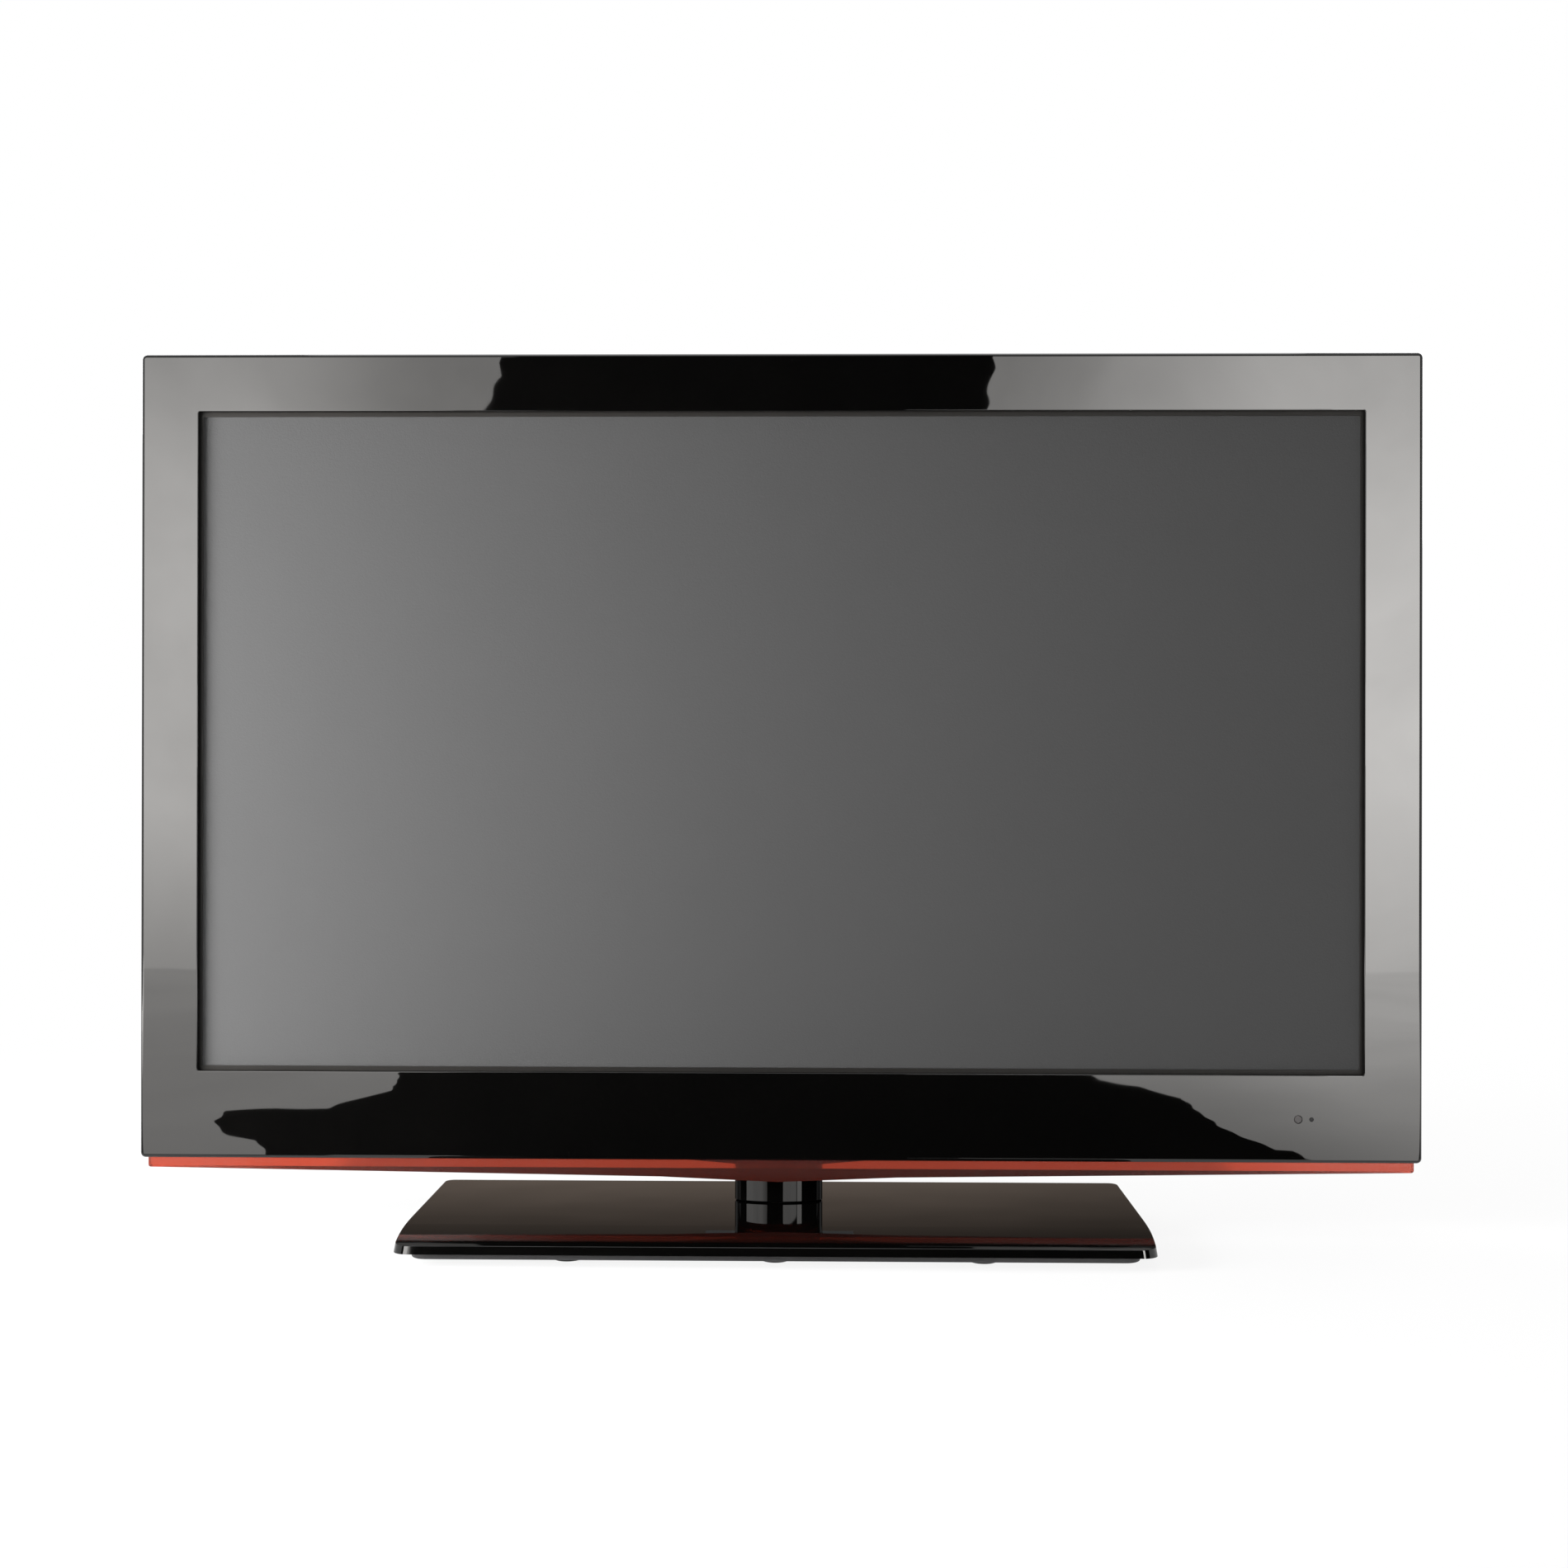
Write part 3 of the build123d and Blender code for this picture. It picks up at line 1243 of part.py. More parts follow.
with BuildPart() as speaker_boxes:
    for side in (-1, 1):
        with Locations((side * speaker_x, speaker_front, speaker_mid)):
            Box(speaker_width, speaker_depth, speaker_height, align=(Align.CENTER, Align.MIN, Align.CENTER))
    fillet(speaker_boxes.edges().filter_by(Axis.Y), speaker_roll)
    for x, z in speaker_post_places:
        panel(speaker_lug, speaker_lug_height, z, speaker_lug_front, speaker_lug_thickness, 0, x)
    for side in (-1, 1):
        with Locations((side * speaker_x, speaker_front + speaker_wall, speaker_mid)):
            Box(speaker_width - 2 * speaker_wall, speaker_depth - 2 * speaker_wall,
                speaker_height - 2 * speaker_wall, align=(Align.CENTER, Align.MIN, Align.CENTER),
                mode=Mode.SUBTRACT)
        with Locations((side * speaker_x, speaker_front + speaker_depth / 2, speaker_low)):
            Box(cone_width - 2 * cone_border, cone_depth - 2 * cone_border, speaker_wall,
                align=(Align.CENTER, Align.CENTER, Align.MIN), mode=Mode.SUBTRACT)
    pegs(speaker_post_places, speaker_lug_front, speaker_lug_thickness, m3_radius + screw_gap, Mode.SUBTRACT)
keep(speaker_boxes, "speaker_boxes")

with BuildPart() as speaker_drivers:
    frame_low = speaker_low + speaker_wall
    cone_low = frame_low + cone_frame
    driver_y = speaker_front + speaker_depth / 2
    inner_depth = cone_depth - 2 * cone_border
    for side in (-1, 1):
        with BuildSketch(Plane.XY.offset(frame_low)) as frame:
            with Locations((side * speaker_x, driver_y)):
                RectangleRounded(cone_width, cone_depth, cone_depth / 2 - running_gap)
        extrude(frame.sketch, amount=cone_frame)
        with BuildSketch(Plane.XY.offset(cone_low)) as cone:
            with Locations((side * speaker_x, driver_y)):
                RectangleRounded(cone_width - 2 * cone_border, inner_depth, inner_depth / 2 - running_gap)
        extrude(cone.sketch, amount=cone_height, taper=cone_slope)
        columns([(side * speaker_x, driver_y)], cone_low + cone_height / 2, magnet_height, magnet_radius)
keep(speaker_drivers, "speaker_drivers")


# Wiring

wire_y = board_back + connector_size[1] / 2
power_x, power_rise, power_width, power_height = power_board_spot
lamp_x, lamp_rise, lamp_width, lamp_height = lamp_board_spot
timing_x, timing_rise, timing_width, timing_height = timing_board_spot
main_right = main_x + main_width / 2
power_left = power_x - power_width / 2
power_right = power_x + power_width / 2
lamp_left = lamp_x - lamp_width / 2
timing_left = timing_x - timing_width / 2
box_end = speaker_x - speaker_width / 2
speaker_lead_z = main_mid + speaker_lead_rise
second_lead_z = main_mid + second_lead_rise
main_lead_z = screen_mid + main_lead_rise
lamp_lead_z = screen_mid + lamp_lead_rise
mains_lead_z = screen_mid + mains_lead_rise
ribbon_x = main_x + ribbon_x_offset
ribbon_z = screen_mid + timing_rise
ribbon_y = board_back + ribbon_connector[1]
ribbon_low = main_mid + main_height / 2 - ribbon_connector[2]
ribbon_end = timing_left + ribbon_connector[2]


def wire(points):
    """One sleeved wire along straight runs joined by arcs."""
    with BuildLine() as route:
        FilletPolyline(*points, radius=wire_bend)
    with BuildSketch(Plane(origin=points[0], z_dir=route.line % 0)) as section:
        Circle(wire_radius)
    sweep(section.sketch, path=route.line)


def short_lead(left, right, z):
    """A lead that joins the facing connectors of two boards, with a low hump in its middle."""
    wire([(left, wire_y, z), (left + connector_run, wire_y, z), ((left + right) / 2, wire_y + wire_hump, z),
          (right - connector_run, wire_y, z), (right, wire_y, z)])


def speaker_start(side, y, z):
    """The first points of a loudspeaker's lead: out of the box's end, back and up."""
    behind_y = (tray_back + rim_back - cover_wall) / 2
    return [(side * box_end, y, z), (side * (box_end - 40), y, z),
            (side * (box_end - 76), behind_y, z + 12), (side * (box_end - 78), behind_y + 2, z + 60)]


with BuildPart() as sleeved_wires:
    lead_z = speaker_low + speaker_height - speaker_lead_drop
    lead_y = speaker_front + speaker_depth - speaker_lead_inset
    wire([*speaker_start(-1, lead_y, lead_z), (-box_end + 66, wire_y, speaker_lead_z - 14),
          (main_right + connector_run, wire_y, speaker_lead_z), (main_right, wire_y, speaker_lead_z)])
    wire([*speaker_start(1, lead_y, lead_z), (box_end - 86, wire_y, second_lead_z - 4),
          (box_end - 150, wire_y, second_lead_z + 6),
          (main_right + connector_run, wire_y, second_lead_z), (main_right, wire_y, second_lead_z)])
    short_lead(main_right, power_left, main_lead_z)
    short_lead(power_right, lamp_left, lamp_lead_z)
    inlet_top = inlet_low + inlet_body[2]
    wire([(inlet_x, inlet_y, inlet_top), (inlet_x, inlet_y, inlet_top + 45),
          (inlet_x - 20, inlet_y - 4, mains_lead_z - 30),
          (power_right + 60, wire_y + wire_hump, mains_lead_z),
          (power_right + connector_run, wire_y, mains_lead_z), (power_right, wire_y, mains_lead_z)])
keep(sleeved_wires, "sleeved_wires")

with BuildPart() as picture_ribbon:
    with BuildSketch(upright(ribbon_y)) as ribbon:
        with BuildLine() as ribbon_route:
            FilletPolyline((ribbon_x, ribbon_low), (ribbon_x, ribbon_z), (ribbon_end, ribbon_z),
                           radius=ribbon_width)
        trace(ribbon_route.line, ribbon_width)
    extrude(ribbon.sketch, amount=-ribbon_thickness)
keep(picture_ribbon, "picture_ribbon")

with BuildPart() as wire_connectors:
    inward = connector_size[0] / 2
    for x, z in ((main_right - inward, speaker_lead_z), (main_right - inward, second_lead_z),
                 (main_right - inward, main_lead_z), (power_left + inward, main_lead_z),
                 (power_right - inward, lamp_lead_z), (power_right - inward, mains_lead_z),
                 (lamp_left + inward, lamp_lead_z)):
        with Locations((x, board_back, z)):
            Box(*connector_size, align=(Align.CENTER, Align.MIN, Align.CENTER))
    with Locations((ribbon_x, board_back, ribbon_low)):
        Box(*ribbon_connector, align=(Align.CENTER, Align.MIN, Align.MIN))
    with Locations((ribbon_end, board_back, ribbon_z)):
        Box(*reversed(ribbon_connector), align=(Align.MAX, Align.MIN, Align.CENTER))
keep(wire_connectors, "wire_connectors")


# Small screws: those inside the housing, then those that show from outside

slim_radius = m3_radius - screw_gap / 4

with BuildPart() as inner_screws:
    screws([(x, board_back, z) for x, z in board_places], (0, 1, 0), slim_radius,
           board_thickness + board_standoff - screw_tip_gap, m3_head_radius, m3_head_height)
    screws([(key_board_face - board_thickness, key_y, z) for z in key_post_heights], (-1, 0, 0),
           slim_radius, board_thickness + m3_thread, m3_head_radius, m3_head_height)
    screws([(x, speaker_lug_front + speaker_lug_thickness, z) for x, z in speaker_post_places], (0, 1, 0),
           slim_radius, speaker_lug_thickness + m3_thread, m3_head_radius, m3_head_height)
    screws([(x, skin_back + eye_board_back + board_thickness, z) for x, z in eye_post_places], (0, 1, 0),
           slim_radius, board_thickness + m3_thread / 2, m3_head_radius, m3_head_height)
keep(inner_screws, "inner_screws")

with BuildPart() as case_screws:
    screws([(x, rim_back, z) for x, z in rim_places], (0, 1, 0), slim_radius,
           rim_depth + 2 * m3_thread, m3_head_radius, m3_head_height)
    screws([(inlet_x + side * inlet_screw_x, inlet_y, inlet_low) for side in (-1, 1)], (0, 0, -1),
           slim_radius, inlet_flange[2] + cover_wall, m3_head_radius, m3_head_height)
    for side in (-1, 1):
        screws([(side * neck_head_x, swivel_y, lug_mid)], (side, 0, 0), slim_radius,
               neck_wall - head_sink + m3_thread, m3_head_radius, m3_head_height)
    screws([(0, neck_back - head_sink, lug_mid)], (0, 1, 0), slim_radius,
           neck_wall - head_sink + back_lug_bite, m3_head_radius, m3_head_height)
keep(case_screws, "case_screws")
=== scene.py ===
import json
import math
import bmesh
import bpy
from mathutils import Matrix, Vector


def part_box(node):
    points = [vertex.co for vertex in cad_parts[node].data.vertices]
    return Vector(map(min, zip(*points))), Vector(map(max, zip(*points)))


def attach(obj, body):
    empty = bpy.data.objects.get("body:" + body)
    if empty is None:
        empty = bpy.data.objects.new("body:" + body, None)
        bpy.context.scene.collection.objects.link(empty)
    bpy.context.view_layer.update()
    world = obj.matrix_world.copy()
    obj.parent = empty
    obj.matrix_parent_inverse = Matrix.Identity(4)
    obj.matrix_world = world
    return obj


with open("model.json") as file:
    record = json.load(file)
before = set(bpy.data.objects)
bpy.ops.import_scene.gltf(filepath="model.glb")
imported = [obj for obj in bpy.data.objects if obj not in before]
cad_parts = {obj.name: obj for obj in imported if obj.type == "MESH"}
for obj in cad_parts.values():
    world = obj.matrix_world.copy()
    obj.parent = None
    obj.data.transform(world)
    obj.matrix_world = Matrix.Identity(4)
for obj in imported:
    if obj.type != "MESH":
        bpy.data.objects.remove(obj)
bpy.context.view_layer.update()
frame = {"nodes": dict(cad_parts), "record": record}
scene = bpy.context.scene

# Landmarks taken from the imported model
MM = 0.001
bezel_low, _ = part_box("front_bezel")
base_low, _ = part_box("base_top_cover")


# Camera, at the photograph's height and distance

CAMERA_PLACE = Vector((0.0341, -1.6761, 0.3613))
CAMERA_YAW = math.radians(1.013)
CAMERA_PITCH = math.radians(0.034)
CAMERA_ROLL = math.radians(0.110)
CAMERA_LENS = 47.93
CAMERA_SENSOR = 36.0


def make_camera():
    """A level camera in front of the screen, turned a little to the left."""
    data = bpy.data.cameras.new("camera")
    data.lens = CAMERA_LENS
    data.sensor_width = CAMERA_SENSOR
    data.clip_start = 0.01
    data.clip_end = 50.0
    camera = bpy.data.objects.new("camera", data)
    scene.collection.objects.link(camera)
    camera.matrix_world = (
        Matrix.Translation(CAMERA_PLACE)
        @ Matrix.Rotation(CAMERA_YAW, 4, "Z")
        @ Matrix.Rotation(math.radians(90) + CAMERA_PITCH, 4, "X")
        @ Matrix.Rotation(CAMERA_ROLL, 4, "Z")
    )
    scene.camera = camera
    scene.view_settings.view_transform = "Standard"


make_camera()


# Node helpers

def add_node(tree, kind, **values):
    """A new node, with its properties and its unlinked inputs set by name."""
    node = tree.nodes.new(kind)
    for name, value in values.items():
        if hasattr(node, name):
            setattr(node, name, value)
        else:
            node.inputs[name.replace("_", " ")].default_value = value
    return node


def map_range(tree, value, source, target, smooth=False):
    """A value carried from one span to another."""
    node = tree.nodes.new("ShaderNodeMapRange")
    node.interpolation_type = "SMOOTHSTEP" if smooth else "LINEAR"
    node.inputs["From Min"].default_value, node.inputs["From Max"].default_value = source
    node.inputs["To Min"].default_value, node.inputs["To Max"].default_value = target
    tree.links.new(value, node.inputs["Value"])
    return node.outputs["Result"]


def product(tree, first, second):
    """Two values multiplied; the second may be a plain number."""
    node = add_node(tree, "ShaderNodeMath", operation="MULTIPLY")
    tree.links.new(first, node.inputs[0])
    if isinstance(second, float):
        node.inputs[1].default_value = second
    else:
        tree.links.new(second, node.inputs[1])
    return node.outputs[0]


def new_group(name, inputs, outputs):
    """An empty shader group with float, colour or vector sockets."""
    group = bpy.data.node_groups.new(name, "ShaderNodeTree")
    for label, kind, default in inputs:
        socket = group.interface.new_socket(label, in_out="INPUT", socket_type=kind)
        if default is not None:
            socket.default_value = default
    for label, kind in outputs:
        group.interface.new_socket(label, in_out="OUTPUT", socket_type=kind)
    start = group.nodes.new("NodeGroupInput")
    end = group.nodes.new("NodeGroupOutput")
    return group, start, end


# The part of a noise's range where most of its values lie
NOISE_SPAN = (0.3, 0.7)

FLOAT = "NodeSocketFloat"
COLOUR = "NodeSocketColor"
VECTOR = "NodeSocketVector"


def moulded_grain_group():
    """Height of a fine spark-eroded grain, as on matte mouldings."""
    group, start, end = new_group(
        "moulded_grain",
        [("Vector", VECTOR, None), ("Scale", FLOAT, 1500.0), ("Softness", FLOAT, 0.5)],
        [("Height", FLOAT)],
    )
    coarse = add_node(group, "ShaderNodeTexVoronoi", feature="SMOOTH_F1")
    fine = add_node(group, "ShaderNodeTexNoise", Detail=3.0, Roughness=0.6)
    mix = add_node(group, "ShaderNodeMix", data_type="FLOAT")
    group.links.new(start.outputs["Vector"], coarse.inputs["Vector"])
    group.links.new(start.outputs["Vector"], fine.inputs["Vector"])
    group.links.new(start.outputs["Scale"], coarse.inputs["Scale"])
    group.links.new(start.outputs["Scale"], fine.inputs["Scale"])
    group.links.new(start.outputs["Softness"], mix.inputs[0])
    group.links.new(coarse.outputs["Distance"], mix.inputs[2])
    group.links.new(fine.outputs["Fac"], mix.inputs[3])
    group.links.new(mix.outputs[0], end.inputs["Height"])
    return group


def uneven_gloss_group():
    """Roughness that drifts between two values, with faint wiping streaks."""
    group, start, end = new_group(
        "uneven_gloss",
        [("Vector", VECTOR, None), ("Low", FLOAT, 0.1), ("High", FLOAT, 0.2), ("Scale", FLOAT, 12.0)],
        [("Roughness", FLOAT)],
    )
    stretch = add_node(group, "ShaderNodeMapping")
    stretch.inputs["Scale"].default_value = (0.35, 1.0, 1.6)
    cloud = add_node(group, "ShaderNodeTexNoise", Detail=5.0, Roughness=0.62)
    span = add_node(group, "ShaderNodeMapRange")
    span.inputs["From Min"].default_value, span.inputs["From Max"].default_value = NOISE_SPAN
    group.links.new(start.outputs["Vector"], stretch.inputs["Vector"])
    group.links.new(stretch.outputs["Vector"], cloud.inputs["Vector"])
    group.links.new(start.outputs["Scale"], cloud.inputs["Scale"])
    group.links.new(cloud.outputs["Fac"], span.inputs["Value"])
    group.links.new(start.outputs["Low"], span.inputs["To Min"])
    group.links.new(start.outputs["High"], span.inputs["To Max"])
    group.links.new(span.outputs["Result"], end.inputs["Roughness"])
    return group


def tone_drift_group():
    """Colour that drifts between two close tones."""
    group, start, end = new_group(
        "tone_drift",
        [("Vector", VECTOR, None), ("Tone A", COLOUR, None), ("Tone B", COLOUR, None),
         ("Scale", FLOAT, 20.0)],
        [("Color", COLOUR)],
    )
    cloud = add_node(group, "ShaderNodeTexNoise", Detail=4.0, Roughness=0.55)
    mix = add_node(group, "ShaderNodeMix", data_type="RGBA")
    group.links.new(start.outputs["Vector"], cloud.inputs["Vector"])
    group.links.new(start.outputs["Scale"], cloud.inputs["Scale"])
    group.links.new(cloud.outputs["Fac"], mix.inputs[0])
    group.links.new(start.outputs["Tone A"], mix.inputs[6])
    group.links.new(start.outputs["Tone B"], mix.inputs[7])
    group.links.new(mix.outputs[2], end.inputs["Color"])
    return group


def soft_waviness_group():
    """Height of the slow unevenness of a large glossy moulding."""
    group, start, end = new_group(
        "soft_waviness",
        [("Vector", VECTOR, None), ("Scale", FLOAT, 9.0)],
        [("Height", FLOAT)],
    )
    swell = add_node(group, "ShaderNodeTexNoise", Detail=1.0, Roughness=0.4)
    group.links.new(start.outputs["Vector"], swell.inputs["Vector"])
    group.links.new(start.outputs["Scale"], swell.inputs["Scale"])
    group.links.new(swell.outputs["Fac"], end.inputs["Height"])
    return group


moulded_grain = moulded_grain_group()
uneven_gloss = uneven_gloss_group()
tone_drift = tone_drift_group()
soft_waviness = soft_waviness_group()


def use_group(tree, group, vector, **values):
    """Place a group, feed it the shared vector and set its named inputs."""
    node = tree.nodes.new("ShaderNodeGroup")
    node.node_tree = group
    tree.links.new(vector, node.inputs["Vector"])
    for name, value in values.items():
        node.inputs[name.replace("_", " ")].default_value = value
    return node


def rgb(red, green, blue):
    """A colour with full alpha."""
    return (red, green, blue, 1.0)


# Materials

def surface(name, tone_a, tone_b, low, high, tone_scale=20.0, gloss_scale=12.0, metallic=0.0, ior=1.5):
    """A Principled surface whose tone and gloss drift a little over the piece."""
    material = bpy.data.materials.new(name)
    material.use_nodes = True
    tree = material.node_tree
    shader = tree.nodes["Principled BSDF"]
    shader.inputs["Metallic"].default_value = metallic
    shader.inputs["IOR"].default_value = ior
    place = tree.nodes.new("ShaderNodeTexCoord").outputs["Object"]
    tone = use_group(tree, tone_drift, place, Tone_A=tone_a, Tone_B=tone_b, Scale=tone_scale)
    gloss = use_group(tree, uneven_gloss, place, Low=low, High=high, Scale=gloss_scale)
    tree.links.new(tone.outputs["Color"], shader.inputs["Base Color"])
    tree.links.new(gloss.outputs["Roughness"], shader.inputs["Roughness"])
    return material, tree, shader, place


def add_bump(tree, shader, height, depth, strength=1.0):
    """Raise the surface by a height in metres."""
    bump = tree.nodes.new("ShaderNodeBump")
    bump.inputs["Distance"].default_value = depth
    bump.inputs["Strength"].default_value = strength
    tree.links.new(height, bump.inputs["Height"])
    if shader.inputs["Normal"].is_linked:
        tree.links.new(shader.inputs["Normal"].links[0].from_socket, bump.inputs["Normal"])
    tree.links.new(bump.outputs["Normal"], shader.inputs["Normal"])


def glossy_moulding(name, ior):
    """High-gloss black moulding, slightly wavy, with fine wiping marks."""
    material, tree, shader, place = surface(
        name, rgb(0.0007, 0.0007, 0.0007), rgb(0.0013, 0.0012, 0.0011), 0.008, 0.028, ior=ior)
    wave = use_group(tree, soft_waviness, place, Scale=14.0)
    add_bump(tree, shader, wave.outputs["Height"], 0.00012)
    return material


def matte_black():
    """Grained black moulding of the rear cover."""
    material, tree, shader, place = surface(
        "matte_black", rgb(0.018, 0.018, 0.019), rgb(0.026, 0.026, 0.027), 0.42, 0.55)
    grain = use_group(tree, moulded_grain, place, Scale=1300.0, Softness=0.4)
    add_bump(tree, shader, grain.outputs["Height"], 0.00014)
    return material


def red_blade():
    """Clear red acrylic that the light behind shines through."""
    material, tree, shader, place = surface(
        "red_blade", rgb(0.47, 0.052, 0.020), rgb(0.53, 0.062, 0.026), 0.14, 0.20, ior=1.49)
    shader.inputs["Transmission Weight"].default_value = 0.95
    shader.inputs["Coat Weight"].default_value = 0.2
    wave = use_group(tree, soft_waviness, place, Scale=30.0)
    add_bump(tree, shader, wave.outputs["Height"], 0.00005)
    return material


def screen_surface():
    """Matte anti-glare screen with a very fine sparkle."""
    material, tree, shader, place = surface(
        "screen_surface", rgb(0.044, 0.044, 0.044), rgb(0.047, 0.047, 0.047), 0.50, 0.53,
        tone_scale=5.0, gloss_scale=4.0, ior=1.5)
    shader.inputs["Specular IOR Level"].default_value = 0.03
    grain = use_group(tree, moulded_grain, place, Scale=700.0, Softness=1.0)
    add_bump(tree, shader, grain.outputs["Height"], 0.00018)
    return material


def eye_window():
    """Dark plastic of the remote window."""
    material, _, shader, _ = surface(
        "eye_window", rgb(0.030, 0.027, 0.028), rgb(0.045, 0.040, 0.040), 0.22, 0.30, tone_scale=300.0)
    shader.inputs["Specular IOR Level"].default_value = 0.3
    return material


def light_pipe():
    """Smoked clear plastic of the power lamp."""
    material, _, shader, _ = surface(
        "light_pipe", rgb(0.008, 0.008, 0.009), rgb(0.014, 0.014, 0.015), 0.12, 0.20, tone_scale=300.0)
    shader.inputs["Specular IOR Level"].default_value = 0.12
    return material


def black_steel():
    """Black coated sheet steel."""
    material, tree, shader, place = surface(
        "black_steel", rgb(0.007, 0.0065, 0.006), rgb(0.011, 0.010, 0.009), 0.35, 0.5)
    shader.inputs["Specular IOR Level"].default_value = 0.15
    grain = use_group(tree, moulded_grain, place, Scale=900.0, Softness=0.8)
    add_bump(tree, shader, grain.outputs["Height"], 0.00006)
    return material


def zinc_steel():
    """Bright zinc-plated sheet."""
    material, tree, shader, place = surface(
        "zinc_steel", rgb(0.52, 0.53, 0.54), rgb(0.66, 0.66, 0.65), 0.22, 0.4, tone_scale=60.0, metallic=1.0)
    grain = use_group(tree, moulded_grain, place, Scale=400.0, Softness=0.9)
    add_bump(tree, shader, grain.outputs["Height"], 0.00004)
    return material


def screw_steel():
    """Plated screw heads."""
    material, _, _, _ = surface(
        "screw_steel", rgb(0.5, 0.5, 0.5), rgb(0.68, 0.67, 0.64), 0.2, 0.38, tone_scale=150.0, metallic=1.0)
    return material


def black_screw():
    """Black oxide screw heads."""
    material, _, _, _ = surface(
        "black_screw", rgb(0.03, 0.03, 0.032), rgb(0.055, 0.053, 0.05), 0.28, 0.45, tone_scale=200.0,
        metallic=0.8)
    return material


def rubber():
    """Moulded rubber feet."""
    material, tree, shader, place = surface(
        "rubber", rgb(0.014, 0.014, 0.014), rgb(0.03, 0.03, 0.03), 0.6, 0.8)
    grain = use_group(tree, moulded_grain, place, Scale=600.0, Softness=0.7)
    add_bump(tree, shader, grain.outputs["Height"], 0.0001)
    return material


def pale_plastic(name, shade):
    """Plain pale moulding used inside the set."""
    tone = rgb(shade, shade, shade * 0.97)
    darker = rgb(shade * 0.92, shade * 0.92, shade * 0.88)
    material, _, _, _ = surface(name, tone, darker, 0.4, 0.55)
    return material


def lamp_tube():
    """Phosphor-coated lamp glass."""
    material, _, shader, _ = surface("lamp_tube", rgb(0.9, 0.9, 0.86), rgb(0.82, 0.82, 0.79), 0.2, 0.3)
    shader.inputs["Coat Weight"].default_value = 1.0
    return material


def board_green():
    """Green solder mask with a slight unevenness."""
    material, tree, shader, place = surface(
        "board_green", rgb(0.012, 0.11, 0.045), rgb(0.02, 0.16, 0.06), 0.25, 0.4, tone_scale=120.0)
    grain = use_group(tree, moulded_grain, place, Scale=350.0, Softness=0.5)
    add_bump(tree, shader, grain.outputs["Height"], 0.00005)
    return material


def dark_component(name, tone):
    """Moulded or sleeved component."""
    lighter = rgb(tone[0] * 1.4, tone[1] * 1.4, tone[2] * 1.4)
    material, _, _, _ = surface(name, rgb(*tone), lighter, 0.35, 0.5, tone_scale=80.0)
    return material


def heatsink():
    """Plain extruded aluminium."""
    material, _, _, _ = surface(
        "heatsink", rgb(0.62, 0.63, 0.65), rgb(0.75, 0.75, 0.76), 0.3, 0.45, tone_scale=90.0, metallic=1.0)
    return material


def jack_metal():
    """Nickel-plated socket barrels."""
    material, _, _, _ = surface(
        "jack_metal", rgb(0.62, 0.6, 0.56), rgb(0.74, 0.72, 0.68), 0.16, 0.28, tone_scale=200.0, metallic=1.0)
    return material


def plain_plastic(name, tone):
    """Satin coloured moulding of a small part."""
    paler = rgb(*[min(1.0, channel * 1.15 + 0.01) for channel in tone])
    material, _, shader, _ = surface(name, rgb(*tone), paler, 0.25, 0.4, tone_scale=150.0)
    shader.inputs["Coat Weight"].default_value = 0.15
    return material


def key_plastic():
    """Satin black keys."""
    material, tree, shader, place = surface(
        "key_plastic", rgb(0.014, 0.014, 0.015), rgb(0.02, 0.02, 0.021), 0.25, 0.34)
    grain = use_group(tree, moulded_grain, place, Scale=1600.0, Softness=0.6)
    add_bump(tree, shader, grain.outputs["Height"], 0.00004)
    return material


materials = {
    "gloss_black": glossy_moulding("gloss_black", 1.52),
    "neck_black": glossy_moulding("neck_black", 1.30),
    "matte_black": matte_black(),
    "red_blade": red_blade(),
    "screen_surface": screen_surface(),
    "eye_window": eye_window(),
    "light_pipe": light_pipe(),
    "black_steel": black_steel(),
    "zinc_steel": zinc_steel(),
    "screw_steel": screw_steel(),
    "black_screw": black_screw(),
    "rubber": rubber(),
    "slip_plastic": pale_plastic("slip_plastic", 0.78),
    "frame_plastic": pale_plastic("frame_plastic", 0.72),
    "film": pale_plastic("film", 0.85),
    "lamp_tube": lamp_tube(),
    "board_green": board_green(),
    "chip_black": dark_component("chip_black", (0.02, 0.02, 0.021)),
    "heatsink": heatsink(),
    "winding": dark_component("winding", (0.5, 0.38, 0.08)),
    "capacitor_sleeve": dark_component("capacitor_sleeve", (0.02, 0.03, 0.07)),
    "jack_plastic": jack_metal(),
    "wire_sleeve": dark_component("wire_sleeve", (0.03, 0.03, 0.03)),
    "ribbon": pale_plastic("ribbon", 0.6),
    "connector_white": pale_plastic("connector_white", 0.74),
    "speaker_cone": dark_component("speaker_cone", (0.025, 0.025, 0.025)),
    "key_plastic": key_plastic(),
    "key_mark": plain_plastic("key_mark", (0.55, 0.55, 0.54)),
    "ring_red": plain_plastic("ring_red", (0.55, 0.02, 0.02)),
    "ring_white": plain_plastic("ring_white", (0.75, 0.75, 0.72)),
    "ring_yellow": plain_plastic("ring_yellow", (0.75, 0.52, 0.02)),
    "ring_green": plain_plastic("ring_green", (0.03, 0.30, 0.06)),
    "ring_blue": plain_plastic("ring_blue", (0.03, 0.08, 0.42)),
}

for part in frame["record"]["subparts"]:
    for material_slot in frame["nodes"][part["node"]].material_slots:
        material_slot.material = materials[part["material_slot"]]


# Marks on the keys

MARK_HEIGHT = 0.15 * MM
MARK_SINK = 0.05 * MM

# Sizes on a key's mark, in millimetres
MARK_STROKE = 0.28
MARK_WIDTH = 2.8
POWER_RADIUS = 1.35
SOURCE_HALF = 1.3
MENU_PITCH = 0.95
key_names = ["power", "source", "menu", "channel_up", "channel_down", "volume_up", "volume_down"]


